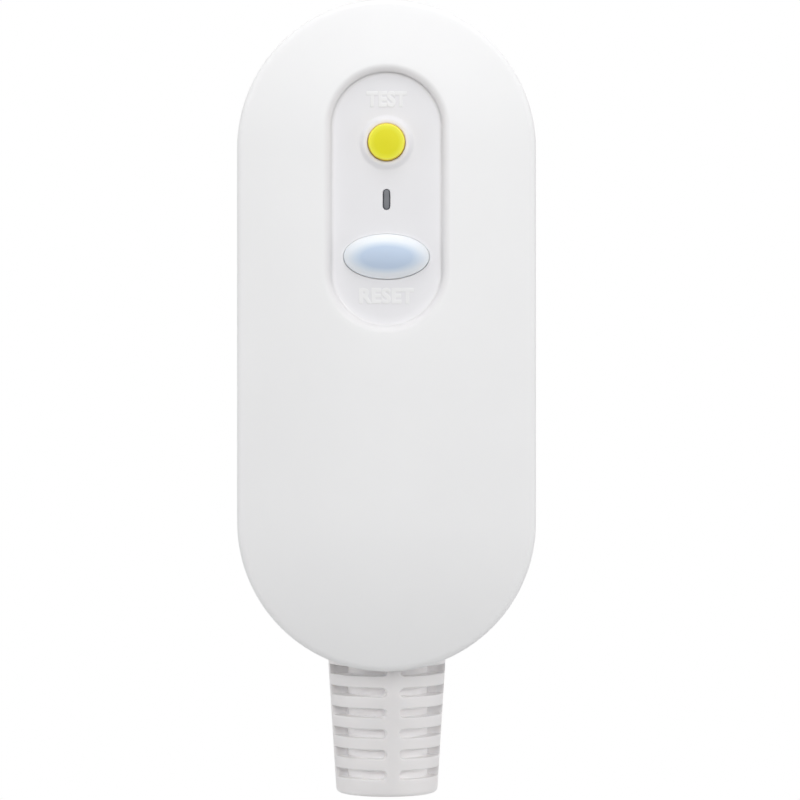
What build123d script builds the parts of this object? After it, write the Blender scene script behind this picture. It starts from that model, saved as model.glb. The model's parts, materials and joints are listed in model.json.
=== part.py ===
"""A mains plug with a residual current switch inside, built piece by piece.

Millimetres, +Z up. The three blades point along +Y and the front cover faces -Y.
The origin is the centre of the blade pattern on the socket face, level with the
centre of the plug's upper round end. A depth is a distance from the socket face
towards the front cover, so depth 37 is y = -37.
"""

from build123d import *

import math
import os

# Outer body
body_width = 52.0
end_spacing = 65.0
body_depth = 37.0
crown_radius = 100.0
edge_round = 1.6
rear_round = 2.5
wall = 2.0
inner_round = 0.5
parting_depth = 18.5
parting_groove = 0.3
tongue_height = 1.5

# Clearances
slide_gap = 0.15
screw_gap = 0.1
pin_gap = 0.05
piece_gap = 0.3
contact_clearance = 0.02
running_gap = 0.6
cut_margin = 1.0
seat_margin = 0.5

# Recess with the two buttons and the indicator
recess_width = 19.2
recess_length = 44.0
recess_depth = 2.5
floor_thickness = 2.0
recess_centre_z = -9.0
button_pitch = 9.9
rim_round = 1.4
floor_round = 0.5

# Test button and its spring leaf
test_cap_radius = 3.23
test_cap_proud = 1.7
test_cap_round = 0.35
test_collar_radius = 4.9
test_collar_height = 0.6
test_flange_radius = 4.4
test_stem_radius = 1.5
test_travel = 1.0
leaf_thickness = 0.3
leaf_width = 4.0
leaf_length = 9.0
leaf_overhang = 2.0
leaf_foot_length = 2.2
test_contact_radius = 1.2

# Reset button
reset_cap_length = 14.9
reset_cap_height = 7.8
reset_cap_proud = 0.6
reset_dome_height = 1.6
reset_flange_overhang = 1.2
reset_stem_radius = 1.5
reset_tip_radius = 1.2
reset_tip_gap = 0.4
reset_travel = 2.5
dome_shoulder = 0.62
button_flange_thickness = 1.0
reset_spring_length = 6.0
reset_spring_radius = 3.0
reset_spring_wire = 0.6

# Indicator
window_width = 1.2
window_length = 3.55
lamp_rise = 0.6
lens_rim = 0.8
lens_rim_thickness = 1.0
led_radius = 1.5
led_round = 1.2
led_foot_rim = 0.4
led_foot_height = 1.0

# Blades of the standard flat three-pin pattern
blade_circle = 7.92
earth_offset = 10.3
blade_width = 6.4
blade_thickness = 1.5
blade_length = 18.0
earth_extra_length = 3.0
blade_tip_chamfer = 0.5
shoulder_width = 9.0
shoulder_height = 1.5
shoulder_thickness = 3.2
spigot_radius = 1.5
rivet_radius = 2.2
rivet_height = 0.8
pad_height = 2.0
blade_plate_thickness = 2.5
blade_screw_inset = 4.5
blade_screw_drop = 6.5
plate_screw_lobe = 2.8
plate_lobe_radius = 4.0
plate_earth_rise = 1.5
plate_side_shift = 1.0
plate_side_drop = 0.5

# Contacts and conductors
strip_thickness = 0.8
strip_width = 5.8
strip_end_margin = 2.4
rivet_cover = 2.4
pole_offset = 7.5
contact_span = 8.6
contact_radius = 1.7
moving_contact_height = 0.6
fixed_contact_height = 0.8
bridge_width = 3.5
bridge_length = 12.4
lead_radius = 1.1
lead_bend_radius = 2.4
lead_frame_shift = 0.4
earth_lead_lift = 1.5
earth_lead_drop = 2.5
earth_lead_clearance = 3.0
earth_lead_tail = 1.0
bend_drop = 0.6
bore_drop = 0.8
fan_rise = 2.0

# Contact carrier and its frame
carrier_travel = 1.5
stop_height = 3.0
carrier_plate = 3.0
carrier_arm_height = 6.0
spring_clearance = 0.7
arm_margin = 2.2
leg_clearance = 0.8
pillar_shift = 0.4
hub_half_width = 4.0
hub_half_length = 4.4
hub_height = 2.8
guide_pin_radius = 1.0
pin_rear_seat = 2.0
pin_front_seat = 1.2
guide_block_width = 4.0
guide_block_length = 4.4
peg_radius = 0.9
peg_proud = 0.3
break_spring_radius = 1.9
break_spring_wire = 0.5
deck_thickness = 2.0
deck_above = 9.8
deck_below = 9.5
leg_thickness = 2.0
leg_length = 16.0
frame_pillar_spread = 14.4
frame_pillar_radius = 2.2
tower_radius = 3.5

# Latch plate, trip plunger and solenoid
latch_thickness = 0.8
latch_width = 5.0
latch_seat = 1.2
latch_tab_height = 7.0
latch_top_margin = 0.2
plunger_travel = 1.5
plunger_shaft_radius = 0.8
plunger_head_radius = 1.6
plunger_head_length = 1.15
plunger_collar_length = 0.85
plunger_spring_wire = 0.4
armature_length = 4.8
bobbin_length = 10.0
bobbin_flange_radius = 5.0
bobbin_tube_radius = 2.8
bobbin_bore_radius = 1.9
bobbin_lip = 1.0
bobbin_flange = 0.8
yoke_thickness = 1.0
yoke_half_width = 5.5
winding_inset = 0.4
cradle_margin = 1.5

# Sensing transformer
transformer_radius = 9.4
transformer_bore_radius = 4.3
transformer_length = 6.0
transformer_wall = 0.8
transformer_drop = 5.8
foot_overlap = 0.8
winding_wall = 0.7
lead_spacing = 4.8

# Circuit board and its components
board_thickness = 1.6
board_lift = 0.38
leaf_standoff = 3.5
board_margin = 5.0
board_pillar_radius = 2.2
board_pillar_inset = 2.5
board_pillar_end = 4.0
board_above = 5.0
board_below = 3.0
board_corner = 1.5

# Components on the board
chip_rise = 4.0
chip_width = 9.6
chip_height = 6.4
chip_standoff = 0.5
chip_thickness = 3.3
chip_leg_pitch = 2.54
chip_leg_width = 0.5
chip_leg_depth = 0.4
chip_leg_row = 3.0
chip_dot_inset = 0.9
chip_dot_radius = 0.6
chip_dot_depth = 0.4
capacitor_radius = 4.0
capacitor_room = 4.0
capacitor_round = 0.5
capacitor_drop = 9.0
component_inset = 8.0
varistor_thickness = 3.4
lower_row_drop = 11.0
thyristor_radius = 2.3
thyristor_standoff = 1.5
thyristor_height = 4.5
thyristor_flat = 1.2
thyristor_leg_pitch = 1.27
thyristor_leg_width = 0.45
leg_insertion = 0.1
resistor_radius = 1.1
resistor_length = 6.0
resistor_inset = 6.5
resistor_pitch = 5.2
resistor_standoff = 0.3
resistor_leg_width = 0.6
resistor_leg_offset = 0.2

# Output terminals
terminal_pitch = 9.0
terminal_width = 7.0
terminal_depth = 8.0
terminal_height = 6.5
terminal_bore_radius = 1.7
terminal_gap = 1.0
terminal_screw_radius = 1.25
terminal_head_radius = 2.3
terminal_head_height = 1.6
shelf_margin = 1.0

# Cable entry
cable_radius = 4.0
clamp_bar_height = 5.0
clamp_bar_thickness = 4.0
clamp_post_inset = 2.3
clamp_post_radius = 2.5
clamp_sleeve_gap = 2.3
clamp_corner = 1.2
clamp_squeeze = 1.0
saddle_rise = 1.0

# Strain relief sleeve
sleeve_radius = 10.4
sleeve_end_radius = 9.27
sleeve_length = 22.5
sleeve_bore_gap = 0.15
sleeve_groove_radius = 8.5
sleeve_core_radius = 7.2
sleeve_flange = 2.0
sleeve_inset = 6.8
sleeve_chamfer = 0.9
rib_thickness = 2.2
slot_count = 6
slot_pitch = 3.65
slot_height = 1.6
first_slot_drop = 0.4
front_web = 2.3
side_fin = 2.4

# Cover screws
cover_screw_angle = 38.7
cover_boss_gap = 0.6
cover_boss_radius = 4.2
counterbore_radius = 2.9
counterbore_depth = 8.0
cover_screw_radius = 1.45
cover_head_radius = 2.7
cover_head_height = 2.0
cover_screw_length = 20.0
small_screw_radius = 1.0
small_head_radius = 2.0
small_head_height = 1.3
small_screw_length = 5.0
screw_end_gap = 1.0
cross_length_ratio = 1.4
cross_width_ratio = 0.25
cross_depth_ratio = 0.5

# Worked out from the sizes above
half_width = body_width / 2
inner_half = half_width - wall
middle_z = -end_spacing / 2
body_bottom_z = -end_spacing - half_width
floor_depth = body_depth - recess_depth
floor_inner = floor_depth - floor_thickness
test_z = recess_centre_z + button_pitch
indicator_z = recess_centre_z
reset_z = recess_centre_z - button_pitch
flange_depth = floor_inner - button_flange_thickness
board_half_width = inner_half - board_margin

pad_depth = wall + pad_height
shoulder_depth = pad_depth + shoulder_height
plate_depth = shoulder_depth + blade_plate_thickness
stop_depth = wall + stop_height
arm_depth = stop_depth + carrier_plate
bridge_depth = arm_depth + strip_thickness
moving_depth = bridge_depth + moving_contact_height
fixed_depth = moving_depth + carrier_travel + contact_clearance
strip_depth = fixed_depth + fixed_contact_height
deck_depth = strip_depth + strip_thickness
deck_front = deck_depth + deck_thickness
lead_depth = strip_depth + strip_thickness / 2
board_rear = lead_depth + transformer_radius + board_lift
board_front = board_rear + board_thickness
lamp_room = floor_inner - lens_rim_thickness - board_front
lamp_height = lamp_room / 2 + lamp_rise
lens_rear = board_front + lamp_height + piece_gap
leaf_front = board_front + leaf_standoff
leaf_rear = leaf_front - leaf_thickness
capacitor_height = body_depth - wall - board_front - capacitor_room
varistor_radius = capacitor_height / 2 - slide_gap
latch_rear = arm_depth + latch_seat
latch_front = latch_rear + latch_thickness
plunger_depth = latch_front + carrier_travel + plunger_head_radius + piece_gap
tower_depth = flange_depth - reset_spring_length

spring_offset = pole_offset + strip_width / 2 + spring_clearance + break_spring_radius
arm_reach = spring_offset + arm_margin
deck_half_width = arm_reach + leg_clearance + leg_thickness
frame_pillar_x = spring_offset + pillar_shift
conductor_offset = pole_offset + lead_radius
deck_top_z = reset_z + deck_above
deck_bottom_z = reset_z - deck_below
head_top_z = deck_bottom_z - plunger_travel - running_gap
head_bottom_z = head_top_z - plunger_head_length
tab_top_z = head_bottom_z - slide_gap
tab_bottom_z = tab_top_z - latch_thickness
collar_top_z = tab_bottom_z - slide_gap
collar_bottom_z = collar_top_z - plunger_collar_length
yoke_top_z = collar_bottom_z - running_gap
bobbin_top_z = yoke_top_z - yoke_thickness
bobbin_bottom_z = bobbin_top_z - bobbin_length
yoke_bottom_z = bobbin_bottom_z - yoke_thickness
transformer_top_z = yoke_bottom_z - transformer_drop
transformer_bottom_z = transformer_top_z - transformer_length

sleeve_wall_z = body_bottom_z
sleeve_end_z = sleeve_wall_z - sleeve_length
rib_bottom_z = sleeve_wall_z + sleeve_inset
rib_top_z = rib_bottom_z + rib_thickness
sleeve_top_z = rib_top_z + slide_gap + sleeve_flange
clamp_bottom_z = sleeve_top_z + clamp_sleeve_gap
clamp_top_z = clamp_bottom_z + clamp_bar_height
clamp_z = (clamp_bottom_z + clamp_top_z) / 2
terminal_bottom_z = clamp_top_z + terminal_gap
terminal_top_z = terminal_bottom_z + terminal_height
shelf_depth = lead_depth - terminal_depth / 2
saddle_depth = parting_depth - cable_radius
clamp_post_depth = parting_depth + cable_radius - clamp_squeeze

board_top_z = test_z + board_above
board_bottom_z = terminal_top_z + board_below
board_height = board_top_z - board_bottom_z
board_middle_z = (board_top_z + board_bottom_z) / 2
board_pillar_x = board_half_width - board_pillar_inset
board_pillar_spread = board_height - 2 * board_pillar_end

boss_reach = inner_half - cover_boss_radius - cover_boss_gap
cover_screw_x = boss_reach * math.cos(math.radians(cover_screw_angle))
cover_screw_z = boss_reach * math.sin(math.radians(cover_screw_angle))
clamp_bar_half_length = cover_screw_x - cover_boss_radius - piece_gap
clamp_post_x = clamp_bar_half_length - clamp_post_inset

cover_screw_points = [
    (-cover_screw_x, cover_screw_z),
    (cover_screw_x, cover_screw_z),
    (-cover_screw_x, -end_spacing - cover_screw_z),
    (cover_screw_x, -end_spacing - cover_screw_z),
]
blade_screw_x = cover_screw_x - blade_screw_inset
blade_screw_z = cover_screw_z - blade_screw_drop
blade_screw_points = [(-blade_screw_x, blade_screw_z), (blade_screw_x, blade_screw_z)]
clamp_points = [(-clamp_post_x, clamp_z), (clamp_post_x, clamp_z)]
frame_points = [
    (side * frame_pillar_x, reset_z + up * frame_pillar_spread / 2)
    for side in (-1, 1)
    for up in (-1, 1)
]
board_points = [
    (side * board_pillar_x, board_middle_z + up * board_pillar_spread / 2)
    for side in (-1, 1)
    for up in (-1, 1)
]
guide_points = [(-spring_offset, reset_z), (spring_offset, reset_z)]
blade_x = blade_circle * math.cos(math.radians(30))
blade_z = -blade_circle * math.sin(math.radians(30))

# Name, x, z and turn of each blade as seen along the depth axis
blades = [
    ("live", blade_x, blade_z, 60, blade_length),
    ("neutral", -blade_x, blade_z, 120, blade_length),
    ("earth", 0.0, earth_offset, 90, blade_length + earth_extra_length),
]

os.makedirs("parts", exist_ok=True)


def level(depth):
    """Plane parallel to the socket face, with its normal towards the front."""
    return Plane.XZ.offset(depth)


def write(builder, name):
    """Label a finished piece and write it to its own file."""
    builder.part.label = name
    export_step(builder.part, "parts/" + name + ".step")


def stadium(inset):
    """The body's outline drawn in by inset, on the current sketch."""
    with Locations((0, middle_z)):
        SlotCenterToCenter(end_spacing, 2 * (half_width - inset), rotation=90)


def recess_outline(grow):
    """The recess floor's outline, larger by grow all round."""
    with Locations((0, recess_centre_z)):
        SlotCenterToCenter(recess_length - recess_width, recess_width + 2 * grow, rotation=90)


def crowned_section(plane, inset, corner, whole):
    """The front cover's cross-section, from its middle to one side or to both."""
    half = half_width - inset
    crown = crown_radius - inset
    apex = body_depth - inset
    sweep_angle = math.degrees(math.asin(half / crown))
    side = apex - crown + math.sqrt(crown**2 - half**2)
    with BuildSketch(plane) as section:
        with BuildLine():
            Line((0, -parting_depth), (half, -parting_depth))
            Line((half, -parting_depth), (half, -side))
            CenterArc((0, crown - apex), crown, -90, sweep_angle)
            Line((0, -apex), (0, -parting_depth))
        make_face()
        fillet(section.vertices().group_by(Axis.X)[-1].sort_by(Axis.Y)[0], corner)
        if whole:
            mirror(about=Plane.YZ)
    return section.sketch


def crowned_block(inset, corner):
    """Solid under the crowned front: turned round ends and a straight middle."""
    for z in (0, -end_spacing):
        section = crowned_section(Plane.XY.offset(z), inset, corner, whole=False)
        revolve(section, axis=Axis((0, 0, z), (0, 1, 0)))
    extrude(crowned_section(Plane.XY, inset, corner, whole=True), amount=-end_spacing)


def blade_plate_outline(grow):
    """Rounded plate outline that covers the three blades' shoulders."""
    with Locations(*blade_screw_points):
        Circle(plate_screw_lobe + grow)
    with Locations((0, earth_offset + plate_earth_rise)):
        Circle(plate_lobe_radius + grow)
    lobe_x = blade_x + plate_side_shift
    with Locations((-lobe_x, blade_z - plate_side_drop), (lobe_x, blade_z - plate_side_drop)):
        Circle(plate_lobe_radius + grow)
    make_hull()


def add_columns(points, radius, start, end, mode=Mode.ADD):
    """Round columns, or holes, between two depths."""
    with BuildSketch(level(start)) as circles:
        with Locations(*points):
            Circle(radius)
    extrude(circles.sketch, amount=end - start, mode=mode)


def add_block(low_x, high_x, low_z, high_z, start, end, mode=Mode.ADD):
    """Rectangular block between two depths."""
    with BuildSketch(level(start)) as base:
        with Locations(((low_x + high_x) / 2, (low_z + high_z) / 2)):
            Rectangle(high_x - low_x, high_z - low_z)
    extrude(base.sketch, amount=end - start, mode=mode)


def add_ring(low_z, high_z, outer, inner, depth, mode=Mode.ADD):
    """Upright ring or disc round a vertical axis at the given depth."""
    with BuildSketch(Plane.XY.offset(low_z)) as ring:
        with Locations((0, -depth)):
            Circle(outer)
            if inner > 0:
                Circle(inner, mode=Mode.SUBTRACT)
    extrude(ring.sketch, amount=high_z - low_z, mode=mode)


def add_screws(points, seat, head_radius, head_height, shank_radius, length, facing):
    """Pan head screws along the depth axis; facing is 1 for heads to the front."""
    head_top = seat + facing * head_height
    add_columns(points, head_radius, seat, head_top)
    add_columns(points, shank_radius, seat, seat - facing * length)
    with BuildSketch(level(head_top)) as cross:
        with Locations(*points):
            Rectangle(cross_length_ratio * head_radius, cross_width_ratio * head_radius)
            Rectangle(cross_width_ratio * head_radius, cross_length_ratio * head_radius)
    cross_depth = facing * head_height * cross_depth_ratio
    extrude(cross.sketch, amount=-cross_depth, mode=Mode.SUBTRACT)


def add_sleeve_rib(end, mode=Mode.ADD):
    """Cross rib that grips the sleeve's groove, from the parting plane to a depth."""
    rib_half = sleeve_radius + wall
    with BuildSketch(Plane.XY.offset(rib_bottom_z)) as rib:
        with Locations((0, -(parting_depth + end) / 2)):
            Rectangle(2 * rib_half, abs(end - parting_depth))
        with Locations((0, -parting_depth)):
            Circle(sleeve_groove_radius + slide_gap, mode=Mode.SUBTRACT)
    extrude(rib.sketch, amount=rib_thickness, mode=mode)


def cut_sleeve_hole():
    """Half of the round hole through the bottom wall."""
    add_ring(
        body_bottom_z - cut_margin, rib_bottom_z, sleeve_radius + slide_gap, 0,
        parting_depth, Mode.SUBTRACT,
    )


def cut_cable_path():
    """Round passage for the cable through the clamp."""
    low = clamp_bottom_z - cut_margin
    high = clamp_top_z + cut_margin
    add_ring(low, high, cable_radius + slide_gap, 0, parting_depth, Mode.SUBTRACT)


# Outer form of the front cover with its recess
with BuildPart() as envelope:
    crowned_block(0, edge_round)
    chamfer(envelope.faces().sort_by(Axis.Y)[-1].edges(), parting_groove)
    with BuildSketch(level(floor_depth)):
        recess_outline(0)
    extrude(amount=recess_depth + cut_margin, mode=Mode.SUBTRACT)
    rim_edges = envelope.edges().filter_by(Axis.Y, reverse=True).filter_by(
        lambda edge: edge.center().Y < -floor_depth - floor_round
        and abs(edge.center().X) < recess_width / 2 + rim_round
        and abs(edge.center().Z - recess_centre_z) < recess_length / 2 + rim_round
    )
    fillet(rim_edges, rim_round)
    fillet(envelope.faces().filter_by(Plane.XZ).sort_by(Axis.Y)[0].edges(), floor_round)

# The hollow leaves the recess pan, the screw bosses and the sleeve rib standing
with BuildPart() as hollow:
    crowned_block(wall, inner_round)
    with BuildSketch(level(parting_depth)):
        stadium(wall / 2)
    extrude(amount=tongue_height + slide_gap)
    with BuildSketch(level(floor_inner)):
        recess_outline(floor_thickness)
    extrude(amount=recess_depth + floor_thickness, mode=Mode.SUBTRACT)
    add_columns(cover_screw_points, cover_boss_radius, parting_depth, body_depth, Mode.SUBTRACT)
    add_sleeve_rib(body_depth, Mode.SUBTRACT)

# Front cover
with BuildPart() as front_cover:
    add(envelope.part)
    add(hollow.part, mode=Mode.SUBTRACT)
    cut_sleeve_hole()
    pilot_end = counterbore_depth + cover_screw_length + screw_end_gap
    add_columns(cover_screw_points, cover_screw_radius + pin_gap, parting_depth, pilot_end, Mode.SUBTRACT)
    with BuildSketch(level(floor_depth)):
        with Locations((0, test_z)):
            Circle(test_collar_radius)
    with BuildSketch(level(floor_depth + test_collar_height)):
        with Locations((0, test_z)):
            Circle(test_cap_radius + 2 * slide_gap)
    loft()
    add_columns([(0, test_z)], test_cap_radius + slide_gap, floor_inner, body_depth, Mode.SUBTRACT)
    with BuildSketch(level(floor_inner)):
        with Locations((0, reset_z)):
            Ellipse(reset_cap_length / 2 + slide_gap, reset_cap_height / 2 + slide_gap)
        with Locations((0, indicator_z)):
            SlotOverall(window_length + 2 * pin_gap, window_width + 2 * pin_gap, rotation=90)
    extrude(amount=floor_thickness, mode=Mode.SUBTRACT)
write(front_cover, "front_cover")

# Rear cover
with BuildPart() as rear_cover:
    with BuildSketch(level(0)):
        stadium(0)
    extrude(amount=parting_depth)
    fillet(rear_cover.faces().sort_by(Axis.Y)[-1].edges(), rear_round)
    chamfer(rear_cover.faces().sort_by(Axis.Y)[0].edges(), parting_groove)
    with BuildSketch(level(parting_depth)):
        stadium(wall / 2 + slide_gap)
    extrude(amount=tongue_height)
    with BuildSketch(level(wall)):
        stadium(wall)
    extrude(amount=parting_depth + tongue_height, mode=Mode.SUBTRACT)
    cut_sleeve_hole()
    add_sleeve_rib(wall / 2)
    with BuildSketch(level(wall)):
        blade_plate_outline(seat_margin)
    extrude(amount=pad_height)
    add_columns(blade_screw_points, small_head_radius + piece_gap, wall, shoulder_depth)
    add_columns(cover_screw_points, cover_boss_radius, wall, parting_depth)
    add_columns(frame_points, frame_pillar_radius, wall, deck_depth)
    add_columns(board_points, board_pillar_radius, wall, board_rear)
    for side in (-1, 1):
        block_x = side * spring_offset - guide_block_width / 2
        block_z = reset_z - guide_block_length / 2
        add_block(
            block_x, block_x + guide_block_width, block_z, block_z + guide_block_length,
            wall, stop_depth,
        )
    cradle_half = yoke_half_width - cradle_margin
    cradle_depth = plunger_depth - bobbin_flange_radius - yoke_thickness
    cradle_low = yoke_bottom_z + seat_margin
    cradle_high = yoke_top_z - seat_margin
    add_block(-cradle_half, cradle_half, cradle_low, cradle_high, wall, cradle_depth)
    shelf_half = terminal_pitch + terminal_width / 2 + shelf_margin
    shelf_low = terminal_bottom_z - seat_margin
    shelf_high = terminal_top_z + seat_margin
    add_block(-shelf_half, shelf_half, shelf_low, shelf_high, wall, shelf_depth)
    add_columns(clamp_points, clamp_post_radius, wall, clamp_post_depth)
    saddle_front = saddle_depth + saddle_rise
    add_block(-clamp_post_x, clamp_post_x, clamp_bottom_z, clamp_top_z, wall, saddle_front)
    cut_cable_path()
    for blade_name, x, z, turn, length in blades:
        with BuildSketch(level(0)):
            with Locations((x, z)):
                Rectangle(
                    blade_width + 2 * slide_gap, blade_thickness + 2 * slide_gap, rotation=turn
                )
        extrude(amount=pad_depth, mode=Mode.SUBTRACT)
    add_columns(cover_screw_points, counterbore_radius, 0, counterbore_depth, Mode.SUBTRACT)
    add_columns(cover_screw_points, cover_screw_radius + screw_gap, 0, parting_depth, Mode.SUBTRACT)
    small_bore = small_screw_radius + pin_gap
    add_columns(blade_screw_points, small_bore, wall / 2, shoulder_depth, Mode.SUBTRACT)
    add_columns(frame_points, small_bore, deck_depth - small_screw_length, deck_depth, Mode.SUBTRACT)
    add_columns(board_points, small_bore, board_rear - small_screw_length, board_rear, Mode.SUBTRACT)
    clamp_bore_start = clamp_post_depth - small_screw_length
    add_columns(clamp_points, small_bore, clamp_bore_start, clamp_post_depth, Mode.SUBTRACT)
    pin_bore_start = stop_depth - pin_rear_seat
    add_columns(guide_points, guide_pin_radius + pin_gap, pin_bore_start, stop_depth, Mode.SUBTRACT)
write(rear_cover, "rear_cover")

# Four screws that hold the covers together, driven from the rear
with BuildPart() as cover_screws:
    add_screws(
        cover_screw_points, counterbore_depth, cover_head_radius, cover_head_height,
        cover_screw_radius, cover_screw_length, facing=-1,
    )
write(cover_screws, "cover_screws")

# Test button with its retaining flange and stem
with BuildPart() as test_button:
    add_columns([(0, test_z)], test_cap_radius, flange_depth, floor_depth + test_cap_proud)
    fillet(test_button.faces().sort_by(Axis.Y)[0].edges(), test_cap_round)
    add_columns([(0, test_z)], test_flange_radius, flange_depth, floor_inner)
    add_columns([(0, test_z)], test_stem_radius, leaf_front, flange_depth)
write(test_button, "test_button")

# Spring leaf that the test button bends onto the pad on the board
leaf_high_z = test_z + test_stem_radius + leaf_overhang
leaf_low_z = leaf_high_z - leaf_length - leaf_foot_length
with BuildPart() as test_leaf:
    leaf_sides = (-leaf_width / 2, leaf_width / 2)
    add_block(*leaf_sides, leaf_low_z, leaf_high_z, leaf_rear, leaf_front)
    add_block(*leaf_sides, leaf_low_z, leaf_low_z + leaf_foot_length, board_front, leaf_rear)
write(test_leaf, "test_leaf")

# Small contact pad under the leaf's free end
with BuildPart() as test_contact:
    pad_top = leaf_rear - test_travel - contact_clearance
    add_columns([(0, test_z)], test_contact_radius, board_front, pad_top)
write(test_contact, "test_contact")

# Reset button: a domed oval cap, drawn round and stretched sideways, with its stem
cap_radius = reset_cap_height / 2
cap_stretch = reset_cap_length / reset_cap_height
cap_edge = floor_depth + reset_cap_proud
with BuildPart() as reset_button:
    with BuildSketch(Plane.XY.offset(reset_z)):
        with BuildLine():
            Polyline(
                (0, -flange_depth),
                (cap_radius + reset_flange_overhang, -flange_depth),
                (cap_radius + reset_flange_overhang, -floor_inner),
                (cap_radius, -floor_inner),
                (cap_radius, -cap_edge),
            )
            ThreePointArc(
                (cap_radius, -cap_edge),
                (cap_radius * dome_shoulder, -cap_edge - reset_dome_height * dome_shoulder),
                (0, -cap_edge - reset_dome_height),
            )
            Line((0, -cap_edge - reset_dome_height), (0, -flange_depth))
        make_face()
    revolve(axis=Axis((0, 0, reset_z), (0, 1, 0)))
    scale(by=(cap_stretch, 1, 1), about=(0, 0, reset_z))
    tip_end = latch_front + reset_tip_gap
    tip_start = latch_front + carrier_travel + reset_travel + running_gap
    add_columns([(0, reset_z)], reset_stem_radius, tip_start, flange_depth)
    add_columns([(0, reset_z)], reset_tip_radius, tip_end, tip_start)
write(reset_button, "reset_button")

# Spring that lifts the reset button
with BuildPart() as reset_spring:
    add_columns([(0, reset_z)], reset_spring_radius, tower_depth, flange_depth)
    spring_inner = reset_spring_radius - reset_spring_wire
    add_columns([(0, reset_z)], spring_inner, tower_depth, flange_depth, Mode.SUBTRACT)
write(reset_spring, "reset_spring")

# Grey window that carries the lamp's light to the recess floor
with BuildPart() as indicator_lens:
    with BuildSketch(level(lens_rear)):
        with Locations((0, indicator_z)):
            SlotOverall(window_length, window_width, rotation=90)
    extrude(amount=floor_depth - lens_rear)
    with BuildSketch(level(floor_inner - lens_rim_thickness)):
        with Locations((0, indicator_z)):
            SlotOverall(window_length + 2 * lens_rim, window_width + 2 * lens_rim, rotation=90)
    extrude(amount=lens_rim_thickness)
write(indicator_lens, "indicator_lens")

# Lamp on the board behind the window
with BuildPart() as indicator_lamp:
    add_columns([(0, indicator_z)], led_radius, board_front, board_front + lamp_height)
    fillet(indicator_lamp.faces().sort_by(Axis.Y)[0].edges(), led_round)
    add_columns([(0, indicator_z)], led_radius + led_foot_rim, board_front, board_front + led_foot_height)
write(indicator_lamp, "indicator_lamp")

# Circuit board with holes for its screws and the reset guide
with BuildPart() as circuit_board:
    add_block(
        -board_half_width, board_half_width, board_bottom_z, board_top_z, board_rear, board_front
    )
    fillet(circuit_board.edges().filter_by(Axis.Y), board_corner)
    add_columns(board_points, small_screw_radius + screw_gap, board_rear, board_front, Mode.SUBTRACT)
    add_columns([(0, reset_z)], tower_radius + piece_gap, board_rear, board_front, Mode.SUBTRACT)
write(circuit_board, "circuit_board")

with BuildPart() as board_screws:
    add_screws(
        board_points, board_front, small_head_radius, small_head_height,
        small_screw_radius, board_thickness + small_screw_length - screw_end_gap, facing=1,
    )
write(board_screws, "board_screws")

# Amplifier chip with its two rows of legs
chip_z = (reset_z + board_bottom_z) / 2 + chip_rise
with BuildPart() as amplifier_chip:
    chip_rear = board_front + chip_standoff
    chip_front = chip_rear + chip_thickness
    chip_half = chip_width / 2
    chip_low = chip_z - chip_height / 2
    add_block(-chip_half, chip_half, chip_low, chip_low + chip_height, chip_rear, chip_front)
    with BuildSketch(level(board_front)):
        for row in (-1, 1):
            with Locations((0, chip_z + row * chip_leg_row)):
                with GridLocations(chip_leg_pitch, 1, 4, 1):
                    Rectangle(chip_leg_width, chip_leg_depth)
    extrude(amount=chip_standoff + leg_insertion)
    dot_x = chip_dot_inset - chip_half
    add_columns([(dot_x, chip_z)], chip_dot_radius, chip_front - chip_dot_depth, chip_front, Mode.SUBTRACT)
write(amplifier_chip, "amplifier_chip")

# Upright electrolytic capacitor
capacitor_point = (component_inset - board_half_width, chip_z - capacitor_drop)
with BuildPart() as filter_capacitor:
    add_columns([capacitor_point], capacitor_radius, board_front, board_front + capacitor_height)
    fillet(filter_capacitor.edges().filter_by(GeomType.CIRCLE), capacitor_round)
write(filter_capacitor, "filter_capacitor")

# Disc varistor standing on its edge between the supply lines
varistor_x = board_half_width - component_inset
with BuildPart() as surge_varistor:
    with BuildSketch(Plane.XY.offset(chip_z - lower_row_drop)):
        with Locations((varistor_x, -board_front - varistor_radius)):
            Circle(varistor_radius)
        with Locations((varistor_x, -board_front - varistor_radius / 2)):
            Rectangle(varistor_radius, varistor_radius)
    extrude(amount=varistor_thickness)
write(surge_varistor, "surge_varistor")

# Switching thyristor, a round body with a flat side on three legs
with BuildPart() as trip_thyristor:
    thyristor_z = chip_z - lower_row_drop
    body_rear = board_front + thyristor_standoff
    body_front = body_rear + thyristor_height
    add_columns([(0, thyristor_z)], thyristor_radius, body_rear, body_front)
    flat_low = thyristor_z - thyristor_radius - cut_margin
    flat_high = thyristor_z - thyristor_flat
    add_block(
        -thyristor_radius, thyristor_radius, flat_low, flat_high,
        body_rear, body_front, Mode.SUBTRACT,
    )
    with BuildSketch(level(board_front)):
        with Locations((0, thyristor_z)):
            with GridLocations(thyristor_leg_pitch, 1, 3, 1):
                Rectangle(thyristor_leg_width, thyristor_leg_width)
    extrude(amount=thyristor_standoff + leg_insertion)
write(trip_thyristor, "trip_thyristor")

# Four resistors lying along X on their bent legs
resistor_x = board_half_width - resistor_inset
resistor_points = [
    (side * resistor_x, test_z - row * resistor_pitch) for side in (-1, 1) for row in (1, 2)
]
with BuildPart() as board_resistors:
    for x, z in resistor_points:
        with BuildSketch(Plane.YZ.offset(x - resistor_length / 2)):
            with Locations((-board_front - resistor_radius - resistor_standoff, z)):
                Circle(resistor_radius)
        extrude(amount=resistor_length)
        for side in (-1, 1):
            leg_x = x + side * (resistor_length / 2 + resistor_leg_offset)
            leg_half = resistor_leg_width / 2
            add_block(
                leg_x - leg_half, leg_x + leg_half, z - leg_half, z + leg_half,
                board_front, board_front + resistor_radius + 2 * resistor_standoff,
            )
write(board_resistors, "board_resistors")

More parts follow.
